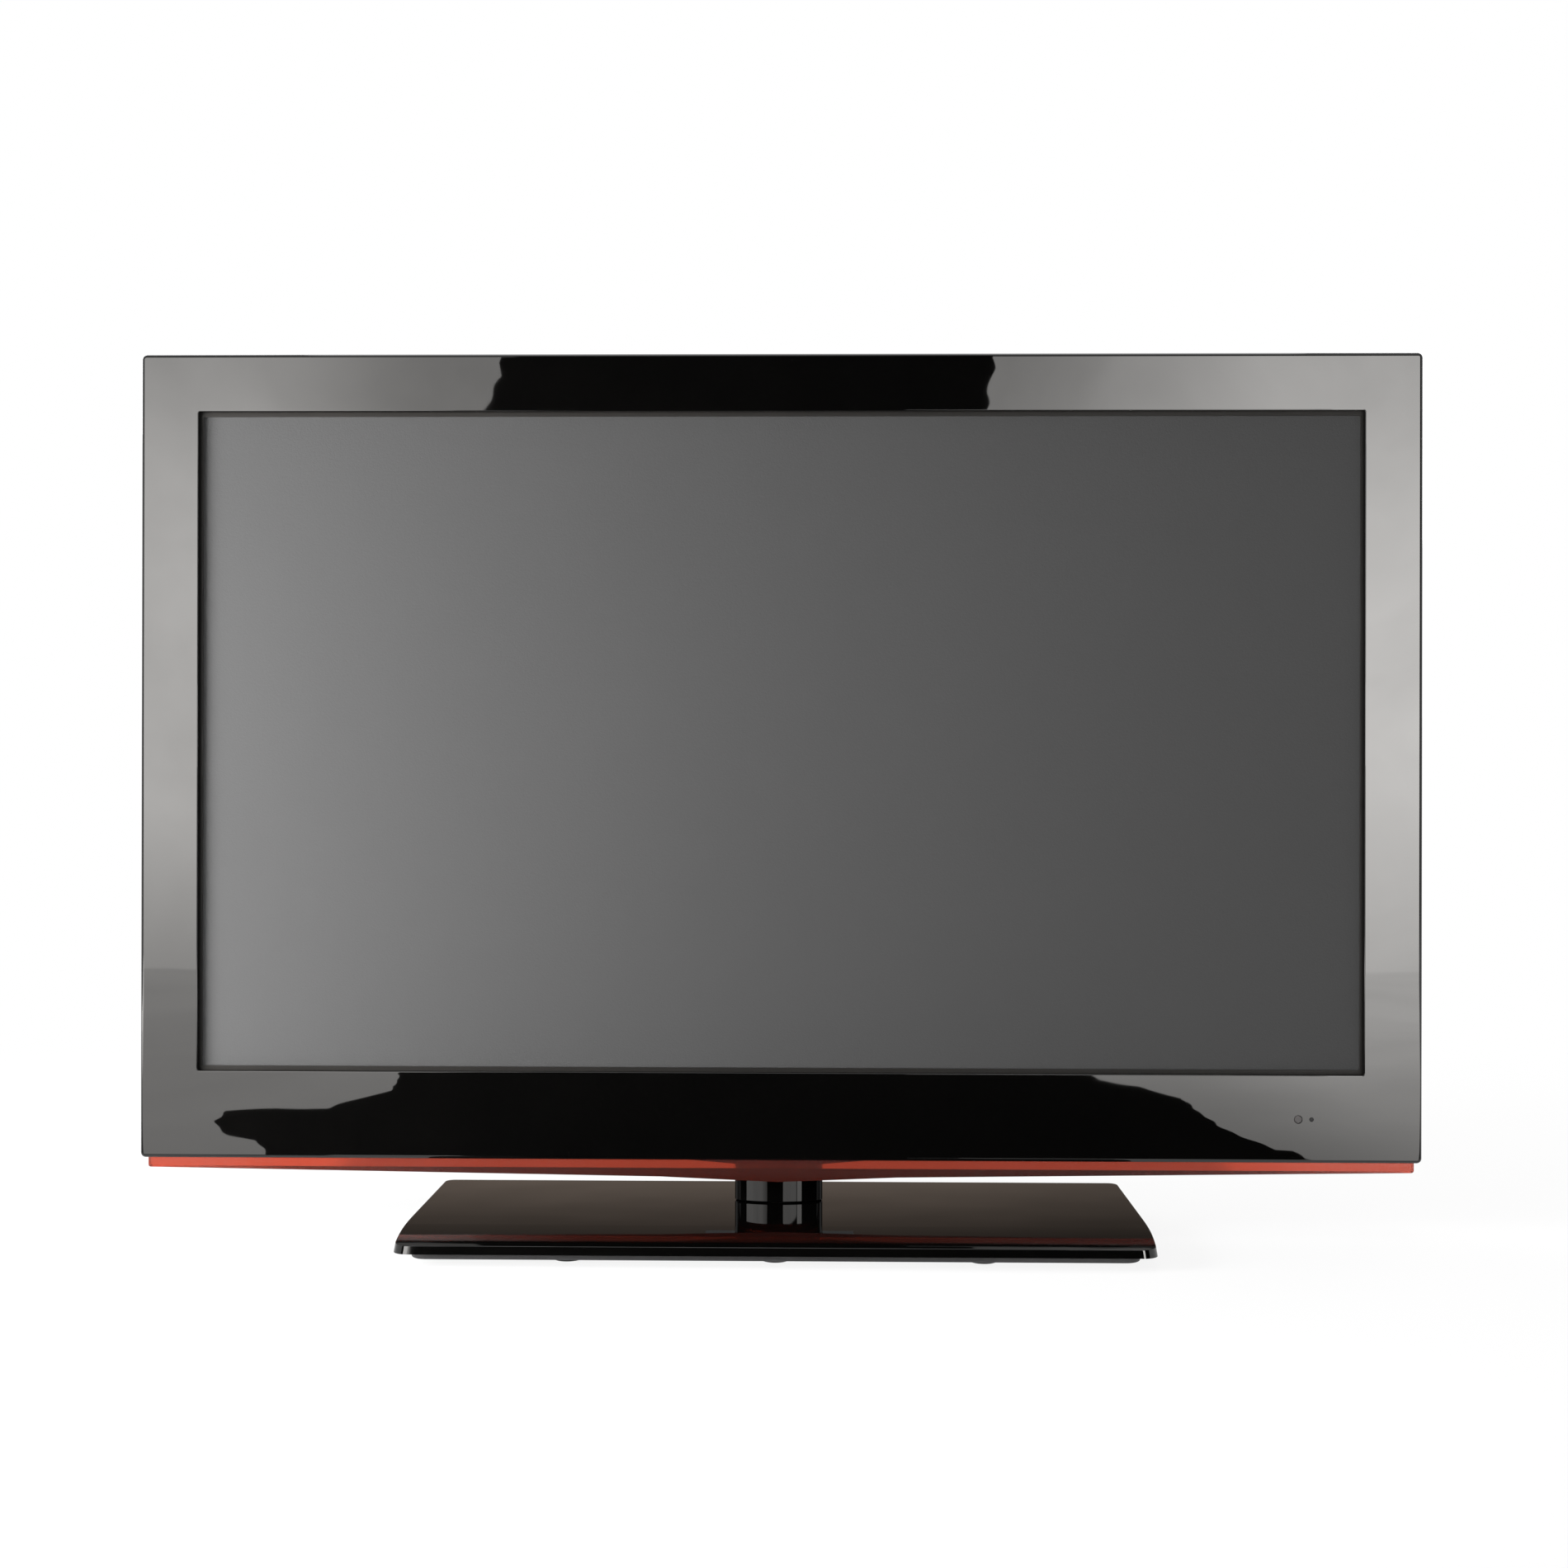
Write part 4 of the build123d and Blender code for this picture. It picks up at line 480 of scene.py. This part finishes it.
def arc_points(radius, start, end, count=22):
    """Points on an arc about the middle, in degrees from the level."""
    return [(radius * math.cos(math.radians(start + (end - start) * i / count)),
             radius * math.sin(math.radians(start + (end - start) * i / count))) for i in range(count + 1)]


def bar(y, z, width, height):
    """A closed outline of an upright or level bar about (y, z)."""
    return [(y - width / 2, z - height / 2), (y + width / 2, z - height / 2),
            (y + width / 2, z + height / 2), (y - width / 2, z + height / 2)]


def band(inner, outer):
    """A closed outline between two open rows of points."""
    return inner + outer[::-1]


def key_shapes(name):
    """Outlines of one key's mark, in millimetres about the middle of its face."""
    stroke = MARK_STROKE
    if name == "power":
        ring = band(arc_points(POWER_RADIUS, 125, 415), arc_points(POWER_RADIUS + stroke, 125, 415))
        return [ring, bar(0, 1.1, stroke, 1.5)]
    if name == "source":
        side = 2 * SOURCE_HALF
        frame_sides = [bar(y, 0, stroke, side) for y in (-SOURCE_HALF, SOURCE_HALF)]
        frame_sides += [bar(0, z, side + stroke, stroke) for z in (-SOURCE_HALF, SOURCE_HALF)]
        return frame_sides + [[(-0.6, -0.6), (0.65, 0.0), (-0.6, 0.6)]]
    if name == "menu":
        return [bar(0, z, MARK_WIDTH, stroke * 1.2) for z in (-MENU_PITCH, 0.0, MENU_PITCH)]
    if name == "channel_up":
        return [[(-1.4, -0.9), (1.4, -0.9), (0.0, 1.2)]]
    if name == "channel_down":
        return [[(-1.4, 0.9), (0.0, -1.2), (1.4, 0.9)]]
    if name == "volume_up":
        return [bar(0, 0, MARK_WIDTH, stroke * 1.3), bar(0, 0, stroke * 1.3, MARK_WIDTH)]
    return [bar(0, 0, MARK_WIDTH, stroke * 1.3)]


def add_prism(mesh, outline, x_low, x_high, y_mid, z_mid):
    """Raise a closed outline from x_low to x_high."""
    low = [mesh.verts.new((x_low, y_mid + y * MM, z_mid + z * MM)) for y, z in outline]
    high = [mesh.verts.new((x_high, y_mid + y * MM, z_mid + z * MM)) for y, z in outline]
    count = len(outline)
    mesh.faces.new(high)
    mesh.faces.new(low[::-1])
    for i in range(count):
        mesh.faces.new((low[i], low[(i + 1) % count], high[(i + 1) % count], high[i]))


def finish_piece(name, mesh, material, body):
    """Turn a finished mesh into a piece that rides on a body."""
    bmesh.ops.recalc_face_normals(mesh, faces=mesh.faces)
    data = bpy.data.meshes.new(name)
    mesh.to_mesh(data)
    mesh.free()
    data.materials.append(material)
    piece = bpy.data.objects.new(name, data)
    scene.collection.objects.link(piece)
    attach(piece, body)


def key_mark(name):
    """A small raised mark on the face of one key."""
    low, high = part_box(f"button_{name}")
    mesh = bmesh.new()
    for outline in key_shapes(name):
        add_prism(mesh, outline, high.x - MARK_SINK, high.x + MARK_HEIGHT, (low.y + high.y) / 2,
                  (low.z + high.z) / 2)
    finish_piece(f"mark_{name}", mesh, materials["key_mark"], f"key_{name}")


# Coloured rings of the phono jacks
RING_INNER = 4.35 * MM
RING_OUTER = 6.2 * MM
RING_HEIGHT = 1.2 * MM
RING_ROLL = 0.4 * MM
RING_SIDES = 40


def jack_ring(name, middle, axis, material):
    """A thin coloured ring with a rolled edge, flat on the wall round one jack."""
    inner, outer, height, roll = RING_INNER, RING_OUTER, RING_HEIGHT, RING_ROLL
    profile = [(inner, 0), (inner, height - roll / 2), (inner + roll / 2, height), (outer - roll, height),
               (outer - roll / 3, height - roll / 3), (outer, height - roll), (outer, 0)]
    mesh = bmesh.new()
    turn = axis.to_track_quat("Z", "Y").to_matrix()
    rings = []
    for side in range(RING_SIDES):
        angle = 2 * math.pi * side / RING_SIDES
        rings.append([mesh.verts.new(middle + turn @ Vector((r * math.cos(angle), r * math.sin(angle), h)))
                      for r, h in profile])
    count = len(profile)
    for side in range(RING_SIDES):
        here, there = rings[side], rings[(side + 1) % RING_SIDES]
        for i in range(count):
            j = (i + 1) % count
            mesh.faces.new((here[i], there[i], there[j], here[j]))
    finish_piece(name, mesh, material, "set")


for key_name in key_names:
    key_mark(key_name)

# Phono jacks: rows by the side wall and the lower wall of the socket recesses
JACK_PITCH = 16.0 * MM
JACK_DEPTH = 52.6 * MM
SIDE_WALL_X = -453.0 * MM
SIDE_ROW_Z = 238.05 * MM
LOWER_WALL_Z = 196.05 * MM
LOWER_ROW_X = -391.0 * MM
SIDE_COLOURS = ["ring_red", "ring_white", "ring_yellow"]
LOWER_COLOURS = ["ring_green", "ring_blue", "ring_red", "ring_white", "ring_red"]

for i, colour in enumerate(SIDE_COLOURS):
    place = Vector((SIDE_WALL_X, JACK_DEPTH, SIDE_ROW_Z + (i - 1) * JACK_PITCH))
    jack_ring(f"side_jack_ring_{i + 1}", place, Vector((-1, 0, 0)), materials[colour])
for i, colour in enumerate(LOWER_COLOURS):
    place = Vector((LOWER_ROW_X + (i - 2) * JACK_PITCH, JACK_DEPTH, LOWER_WALL_Z))
    jack_ring(f"lower_jack_ring_{i + 1}", place, Vector((0, 0, -1)), materials[colour])


# Studio: what the glossy black mouldings mirror, and a plain level of light

FILL_LEVEL = 0.4
FLOOR_REACH = 6.0
FLOOR_TONE = 0.9
FLOOR_FADE_START = 0.75
FLOOR_FADE_END = 1.6
FLOOR_GLOW_NEAR = 0.88

# The brightest level that a card's ramp can hold
LEVEL_SCALE = 16.0
WARM_TINT = (1.0, 0.98, 0.955)
FOLD_SCALE = 2.4

# Small waves along the edges of cloth, each as (share of the height, radians per metre, start)
EDGE_STEPS = 90
EDGE_WAVER = 0.010
CLOTH_WAVER = 0.003
EDGE_WAVES = [(0.6, 41.0, 0.0), (0.4, 97.0, 1.0)]

# Light panels behind the camera: inner edges as (height, x), and levels by height
PANEL_DISTANCE = 2.4
LEFT_PANEL_OUTER = -2.2
LEFT_PANEL_EDGE = [(0.0, -0.74), (0.5, -0.68), (1.04, -0.65), (1.10, -0.63), (1.16, -0.595), (1.75, -0.59)]
LEFT_PANEL_LEVELS = [(0.0, 4.6), (0.25, 8.8), (0.55, 10.1), (0.85, 9.3), (1.2, 5.6), (1.75, 5.6)]
TOP_BAR_EDGE = [(1.02, 0.345), (1.09, 0.345), (1.13, 0.352), (1.17, 0.372), (1.34, 0.38)]
RIGHT_BAR = (1.02, 1.32)
RIGHT_PANEL_LEVELS = [(0.0, 8.2), (0.3, 11.8), (0.55, 13.2), (0.85, 11.2), (1.2, 7.8), (1.75, 7.5)]
LOW_CARD_SPAN = (0.20, 0.98)
LOW_CARD_HEIGHTS = (0.40, 0.56)
LOW_CARD_LEVEL = 9.0
CARD_GAP = 0.02

# Dimming towards the middle: (least share, start, end) by distance from it
LEFT_DIMMING = (0.55, 0.7, 1.1)
RIGHT_DIMMING = (0.45, 0.35, 1.05)
TABLE_DIMMING = (0.68, 0.45, 0.72)

# Black cloth behind the panels
BACK_CLOTH_SPAN = (-4, 4)
BACK_CLOTH_HEIGHTS = (0, 3)
BACK_CLOTH_GAP = 0.2
BLACK_LEVEL = 0.012
BLACK_TINT = (1.0, 0.95, 0.9)

# Table in front of the set: spans along x, and levels by y from far to near
LEFT_TABLE_SPAN = (-1.35, -0.2)
RIGHT_TABLE_SPAN = (0.1, 1.45)
OUTER_TABLE_SPAN = (LEFT_PANEL_OUTER, -1.35)
LEFT_TABLE_LEVELS = [(-2.6, 4.6), (-1.4, 3.6), (-0.1, 3.0)]
RIGHT_TABLE_LEVELS = [(-2.6, 8.4), (-1.4, 7.2), (-0.6, 4.3), (-0.1, 3.1)]
OUTER_TABLE_LEVELS = [(-2.6, 9.0), (-0.1, 8.0)]
TABLE_LIFT = 0.0004
CLOTH_LIFT = 2 * TABLE_LIFT
TABLE_GAP = 0.003

# Left and right edges of the dark cloth on that table, as (y, x) from near to far
DARK_LEFT = [
    (-0.345, -0.50), (-0.37, -0.51), (-0.435, -0.54), (-0.465, -0.575), (-0.55, -0.615), (-0.615, -0.62),
    (-0.64, -0.57), (-0.64, -0.51), (-0.71, -0.50), (-0.785, -0.47), (-0.94, -0.495), (-2.6, -0.40)]
DARK_RIGHT = [
    (-0.345, 0.515), (-0.36, 0.505), (-0.405, 0.50), (-0.41, 0.485), (-0.485, 0.47), (-0.555, 0.455),
    (-0.66, 0.455), (-0.755, 0.45), (-0.84, 0.415), (-0.895, 0.375), (-2.6, 0.28)]

# Close to the stand the table is dark, with a lit strip at each side and a grey one that the blade mirrors
NEAR_REACH = 1.9
NEAR_LEFT_STRIP = (-0.40, -0.2855)
NEAR_RIGHT_STRIP = (0.157, 0.60)
NEAR_STRIP_REACH = (-0.140, -0.192)
BLADE_STRIP_REACH = (-0.245, -0.345)
BLADE_STRIP_LEVEL = 0.35

# Shaded floor behind the stand
REAR_SHADE_SPAN = (-0.42, 0.42)
REAR_SHADE_REACH = (0.13, 0.75)
REAR_SHADE_LEVEL = 0.55

# Brown board far behind the base: levels by height, and its fall to the right
BROWN_PLACE = 1.2
BROWN_SPAN = (-1.6, 1.6)
BROWN_LEVELS = [(0.0, 0.30), (0.215, 0.29), (0.25, 0.19), (0.285, 0.095), (0.46, 0.08)]
BROWN_TINT = (1.0, 0.80, 0.66)
BROWN_FALL = (0.65, 0.0, 0.6)

# Area lights: name, place, aim, size, power, and whether gloss mirrors them
SOFT_LIGHTS = [
    ("front_light", (-1.15, -0.55, 0.40), (-0.4, 0, 0.40), 0.6, 60.0, False),
    ("rear_light_left", (-1.7, 2.1, 1.7), (0, 0.05, 0.35), 1.4, 26.0, True),
    ("rear_light_right", (1.7, 2.1, 1.5), (0, 0.05, 0.35), 1.4, 20.0, True),
    ("top_light", (0, 0.3, 2.8), (0, 0.05, 0.3), 1.8, 26.0, True),
]


def seen_directly(tree):
    """One for rays from the camera, from gloss and through clear pieces, else zero."""
    rays = tree.nodes.new("ShaderNodeLightPath")
    first = add_node(tree, "ShaderNodeMath", operation="ADD")
    both = add_node(tree, "ShaderNodeMath", operation="ADD", use_clamp=True)
    tree.links.new(rays.outputs["Is Camera Ray"], first.inputs[0])
    tree.links.new(rays.outputs["Is Glossy Ray"], first.inputs[1])
    tree.links.new(first.outputs[0], both.inputs[0])
    tree.links.new(rays.outputs["Is Transmission Ray"], both.inputs[1])
    return both.outputs[0]


def make_world():
    """White to the eye, and a plain soft fill for the object."""
    world = bpy.data.worlds.new("studio")
    world.use_nodes = True
    tree = world.node_tree
    background = tree.nodes["Background"]
    background.inputs["Color"].default_value = rgb(1.0, 1.0, 1.0)
    level = map_range(tree, seen_directly(tree), (0, 1), (FILL_LEVEL, 1))
    tree.links.new(level, background.inputs["Strength"])
    scene.world = world


def stage_mesh(name, points, faces, material, **visible):
    """A flat studio card that is no part of the object."""
    mesh = bpy.data.meshes.new(name)
    mesh.from_pydata([Vector(point) for point in points], [], faces)
    mesh.materials.append(material)
    card = bpy.data.objects.new(name, mesh)
    scene.collection.objects.link(card)
    for kind in ("camera", "diffuse", "glossy", "transmission", "shadow"):
        setattr(card, f"visible_{kind}", visible.get(kind, False))


def floor_material():
    """Pale floor with a soft shadow near the stand, white further out."""
    material = bpy.data.materials.new("studio_floor")
    material.use_nodes = True
    tree = material.node_tree
    shader = tree.nodes["Principled BSDF"]
    shader.inputs["Base Color"].default_value = rgb(FLOOR_TONE, FLOOR_TONE, FLOOR_TONE)
    shader.inputs["Roughness"].default_value = 1.0
    shader.inputs["Specular IOR Level"].default_value = 0.0
    glow = tree.nodes.new("ShaderNodeEmission")
    glow.inputs["Color"].default_value = rgb(1.0, 1.0, 1.0)
    place = tree.nodes.new("ShaderNodeTexCoord").outputs["Object"]
    reach = add_node(tree, "ShaderNodeVectorMath", operation="LENGTH")
    tree.links.new(place, reach.inputs[0])
    fade = map_range(tree, reach.outputs["Value"], (FLOOR_FADE_START, FLOOR_FADE_END),
                     (FLOOR_GLOW_NEAR, 1), smooth=True)
    mix = tree.nodes.new("ShaderNodeMixShader")
    tree.links.new(product(tree, seen_directly(tree), fade), mix.inputs[0])
    tree.links.new(shader.outputs[0], mix.inputs[1])
    tree.links.new(glow.outputs[0], mix.inputs[2])
    tree.links.new(mix.outputs[0], tree.nodes["Material Output"].inputs["Surface"])
    return material


def card_material(name, axis, levels, tint, folds=0.0, inner=None, right_fall=None):
    """An unlit card whose brightness follows named levels along one axis.

    Folds adds uneven soft streaks. Inner dims the card towards the middle, and right_fall dims it
    to the right, each from (least share, start, end) along x.
    """
    material = bpy.data.materials.new(name)
    material.use_nodes = True
    tree = material.node_tree
    tree.nodes.remove(tree.nodes["Principled BSDF"])
    place = tree.nodes.new("ShaderNodeTexCoord").outputs["Object"]
    split = tree.nodes.new("ShaderNodeSeparateXYZ")
    tree.links.new(place, split.inputs[0])
    low, high = levels[0][0], levels[-1][0]
    ramp = tree.nodes.new("ShaderNodeValToRGB")
    ramp.color_ramp.interpolation = "B_SPLINE" if len(levels) > 2 else "LINEAR"
    stops = ramp.color_ramp.elements
    while len(stops) < len(levels):
        stops.new(0.5)
    for stop, (place_along, level) in zip(stops, levels):
        stop.position = (place_along - low) / (high - low)
        shade = level / LEVEL_SCALE
        stop.color = (shade, shade, shade, 1.0)
    tree.links.new(map_range(tree, split.outputs[axis], (low, high), (0, 1)), ramp.inputs["Fac"])
    result = product(tree, ramp.outputs["Color"], LEVEL_SCALE)
    if inner is not None:
        least, start, end = inner
        distance = add_node(tree, "ShaderNodeMath", operation="ABSOLUTE")
        tree.links.new(split.outputs["X"], distance.inputs[0])
        share = map_range(tree, distance.outputs[0], (start, end), (least, 1), smooth=True)
        result = product(tree, result, share)
    if right_fall is not None:
        least, start, end = right_fall
        share = map_range(tree, split.outputs["X"], (start, end), (1, least), smooth=True)
        result = product(tree, result, share)
    if folds > 0:
        cloth = add_node(tree, "ShaderNodeTexNoise", Scale=FOLD_SCALE, Detail=4.0, Roughness=0.55,
                         Distortion=0.5)
        tree.links.new(place, cloth.inputs["Vector"])
        share = map_range(tree, cloth.outputs["Fac"], NOISE_SPAN, (1 - folds, 1 + folds))
        result = product(tree, result, share)
    glow = tree.nodes.new("ShaderNodeEmission")
    glow.inputs["Color"].default_value = rgb(*tint)
    tree.links.new(result, glow.inputs["Strength"])
    tree.links.new(glow.outputs[0], tree.nodes["Material Output"].inputs["Surface"])
    return material


def wavering(points, steps, waver):
    """Points (along, across) divided into steps, with small waves across as the edge of a cloth has."""
    edge = []
    total = len(points) - 1
    for step in range(steps + 1):
        place = total * step / steps
        index = min(int(place), total - 1)
        share = place - index
        (a0, c0), (a1, c1) = points[index], points[index + 1]
        along = a0 + (a1 - a0) * share
        across = c0 + (c1 - c0) * share
        wave = sum(height * math.sin(along * rate + start) for height, rate, start in EDGE_WAVES)
        edge.append((along, across + waver * wave))
    return edge


def strip_faces(count):
    """Faces between two rows of as many points."""
    return [(i, i + 1, count + i + 1, count + i) for i in range(count - 1)]


def hanging_panel(name, edge_points, outer, material):
    """A lit panel behind the camera, from its wavering inner edge out to the side."""
    y = bezel_low.y - PANEL_DISTANCE
    edge = wavering(edge_points, EDGE_STEPS, EDGE_WAVER)
    points = [(x, y, z) for z, x in edge] + [(outer, y, z) for z, _ in edge]
    stage_mesh(name, points, strip_faces(len(edge)), material, glossy=True, transmission=True)


def upright_card(name, x_span, y, z_span, material):
    """A plain upright card, seen only in reflections."""
    (left, right), (low, high) = x_span, z_span
    points = [(left, y, low), (right, y, low), (right, y, high), (left, y, high)]
    stage_mesh(name, points, [(0, 1, 2, 3)], material, glossy=True)


def table_card(name, x_span, y_span, height, material):
    """A stretch of table in front of the set, seen only in reflections."""
    (left, right), (near, far) = x_span, y_span
    points = [(left, far, height), (right, far, height), (right, near, height), (left, near, height)]
    stage_mesh(name, points, [(0, 1, 2, 3)], material, glossy=True)


def dark_table(name, height, material):
    """The dark cloth between the lit stretches of table, with its uneven edges."""
    left = wavering(DARK_LEFT, EDGE_STEPS, CLOTH_WAVER)
    right = wavering(DARK_RIGHT, EDGE_STEPS, CLOTH_WAVER)
    points = [(x, y, height) for y, x in left + right[::-1]]
    stage_mesh(name, points, [tuple(range(len(points)))], material, glossy=True)


def even_card(name, level, tint=WARM_TINT, folds=0.0):
    """A card of the same brightness all over."""
    return card_material(name, "Z", [(0, level), (1, level)], tint, folds)


def make_panels(black):
    """The upright cards behind the camera."""
    y = bezel_low.y - PANEL_DISTANCE
    left_glow = card_material("left_panel_glow", "Z", LEFT_PANEL_LEVELS, WARM_TINT, 0.10, LEFT_DIMMING)
    right_glow = card_material("right_panel_glow", "Z", RIGHT_PANEL_LEVELS, WARM_TINT, 0.10, RIGHT_DIMMING)
    low_glow = even_card("low_card_glow", LOW_CARD_LEVEL, folds=0.08)
    hanging_panel("left_light_panel", LEFT_PANEL_EDGE, LEFT_PANEL_OUTER, left_glow)
    hanging_panel("right_top_light", TOP_BAR_EDGE, RIGHT_BAR[1], right_glow)
    upright_card("right_light_bar", RIGHT_BAR, y, (0, TOP_BAR_EDGE[0][0]), right_glow)
    upright_card("low_light_card", LOW_CARD_SPAN, y + CARD_GAP, LOW_CARD_HEIGHTS, low_glow)
    upright_card("black_cloth", BACK_CLOTH_SPAN, y - BACK_CLOTH_GAP, BACK_CLOTH_HEIGHTS, black)


def make_table(black):
    """The stretches of table that the lower bezel, the blade and the stand mirror."""
    far = bezel_low.y - PANEL_DISTANCE
    near = base_low.y - TABLE_GAP
    left_table = card_material("left_table_glow", "Y", LEFT_TABLE_LEVELS, WARM_TINT, 0.06)
    right_table = card_material("right_table_glow", "Y", RIGHT_TABLE_LEVELS, WARM_TINT, 0.06, TABLE_DIMMING)
    outer_table = card_material("outer_table_glow", "Y", OUTER_TABLE_LEVELS, WARM_TINT)
    table_card("left_table", LEFT_TABLE_SPAN, (near, far), TABLE_LIFT, left_table)
    table_card("right_table", RIGHT_TABLE_SPAN, (near, far), TABLE_LIFT, right_table)
    table_card("outer_table", OUTER_TABLE_SPAN, (near, far), TABLE_LIFT, outer_table)
    dark_table("dark_table", CLOTH_LIFT, black)


def make_near_table(black):
    """The dark table close to the stand, with its lit and grey strips."""
    near = base_low.y - TABLE_GAP
    strip_near, strip_far = NEAR_STRIP_REACH
    everywhere = (-NEAR_REACH, NEAR_REACH)
    table_card("near_dark", everywhere, (near, strip_near), CLOTH_LIFT, black)
    gaps = [
        ("near_dark_left", (-NEAR_REACH, NEAR_LEFT_STRIP[0])),
        ("near_dark_middle", (NEAR_LEFT_STRIP[1], NEAR_RIGHT_STRIP[0])),
        ("near_dark_right", (NEAR_RIGHT_STRIP[1], NEAR_REACH)),
    ]
    for name, span in gaps:
        table_card(name, span, NEAR_STRIP_REACH, CLOTH_LIFT, black)
    table_card("near_dark_front", everywhere, (strip_far, BLADE_STRIP_REACH[0]), CLOTH_LIFT, black)
    grey = even_card("near_grey", BLADE_STRIP_LEVEL)
    table_card("near_grey", everywhere, BLADE_STRIP_REACH, CLOTH_LIFT, grey)


def make_rear_shade():
    """The shaded floor behind the stand, as the clear blade shows it."""
    left, right = REAR_SHADE_SPAN
    near, far = REAR_SHADE_REACH
    points = [(left, near, TABLE_LIFT), (right, near, TABLE_LIFT), (right, far, TABLE_LIFT),
              (left, far, TABLE_LIFT)]
    shade = even_card("rear_shade", REAR_SHADE_LEVEL)
    stage_mesh("rear_shade", points, [(0, 1, 2, 3)], shade, transmission=True)


def make_floor():
    """The pale floor that the stand throws its shadow on."""
    reach = FLOOR_REACH
    corners = [(-reach, -reach, 0), (reach, -reach, 0), (reach, reach, 0), (-reach, reach, 0)]
    stage_mesh("floor", corners, [(0, 1, 2, 3)], floor_material(), camera=True, diffuse=True, glossy=True,
               transmission=True, shadow=True)


def make_studio():
    """Floor, lit panels, and the dark and brown cards that the gloss mirrors."""
    make_floor()
    black = even_card("black_cloth", BLACK_LEVEL, BLACK_TINT)
    make_panels(black)
    make_table(black)
    make_near_table(black)
    make_rear_shade()
    brown = card_material("brown_board", "Z", BROWN_LEVELS, BROWN_TINT, 0.05, right_fall=BROWN_FALL)
    upright_card("brown_board", BROWN_SPAN, BROWN_PLACE, (0, BROWN_LEVELS[-1][0]), brown)


def soft_light(name, place, aim, size, power, glossy):
    """A square area light that points at a place, and that gloss may or may not mirror."""
    data = bpy.data.lights.new(name, "AREA")
    data.shape = "SQUARE"
    data.size = size
    data.energy = power
    light = bpy.data.objects.new(name, data)
    scene.collection.objects.link(light)
    turn = (Vector(aim) - Vector(place)).to_track_quat("-Z", "Y")
    light.matrix_world = Matrix.Translation(place) @ turn.to_matrix().to_4x4()
    light.visible_glossy = glossy
    light.visible_transmission = glossy


make_world()
make_studio()
for settings in SOFT_LIGHTS:
    soft_light(*settings)
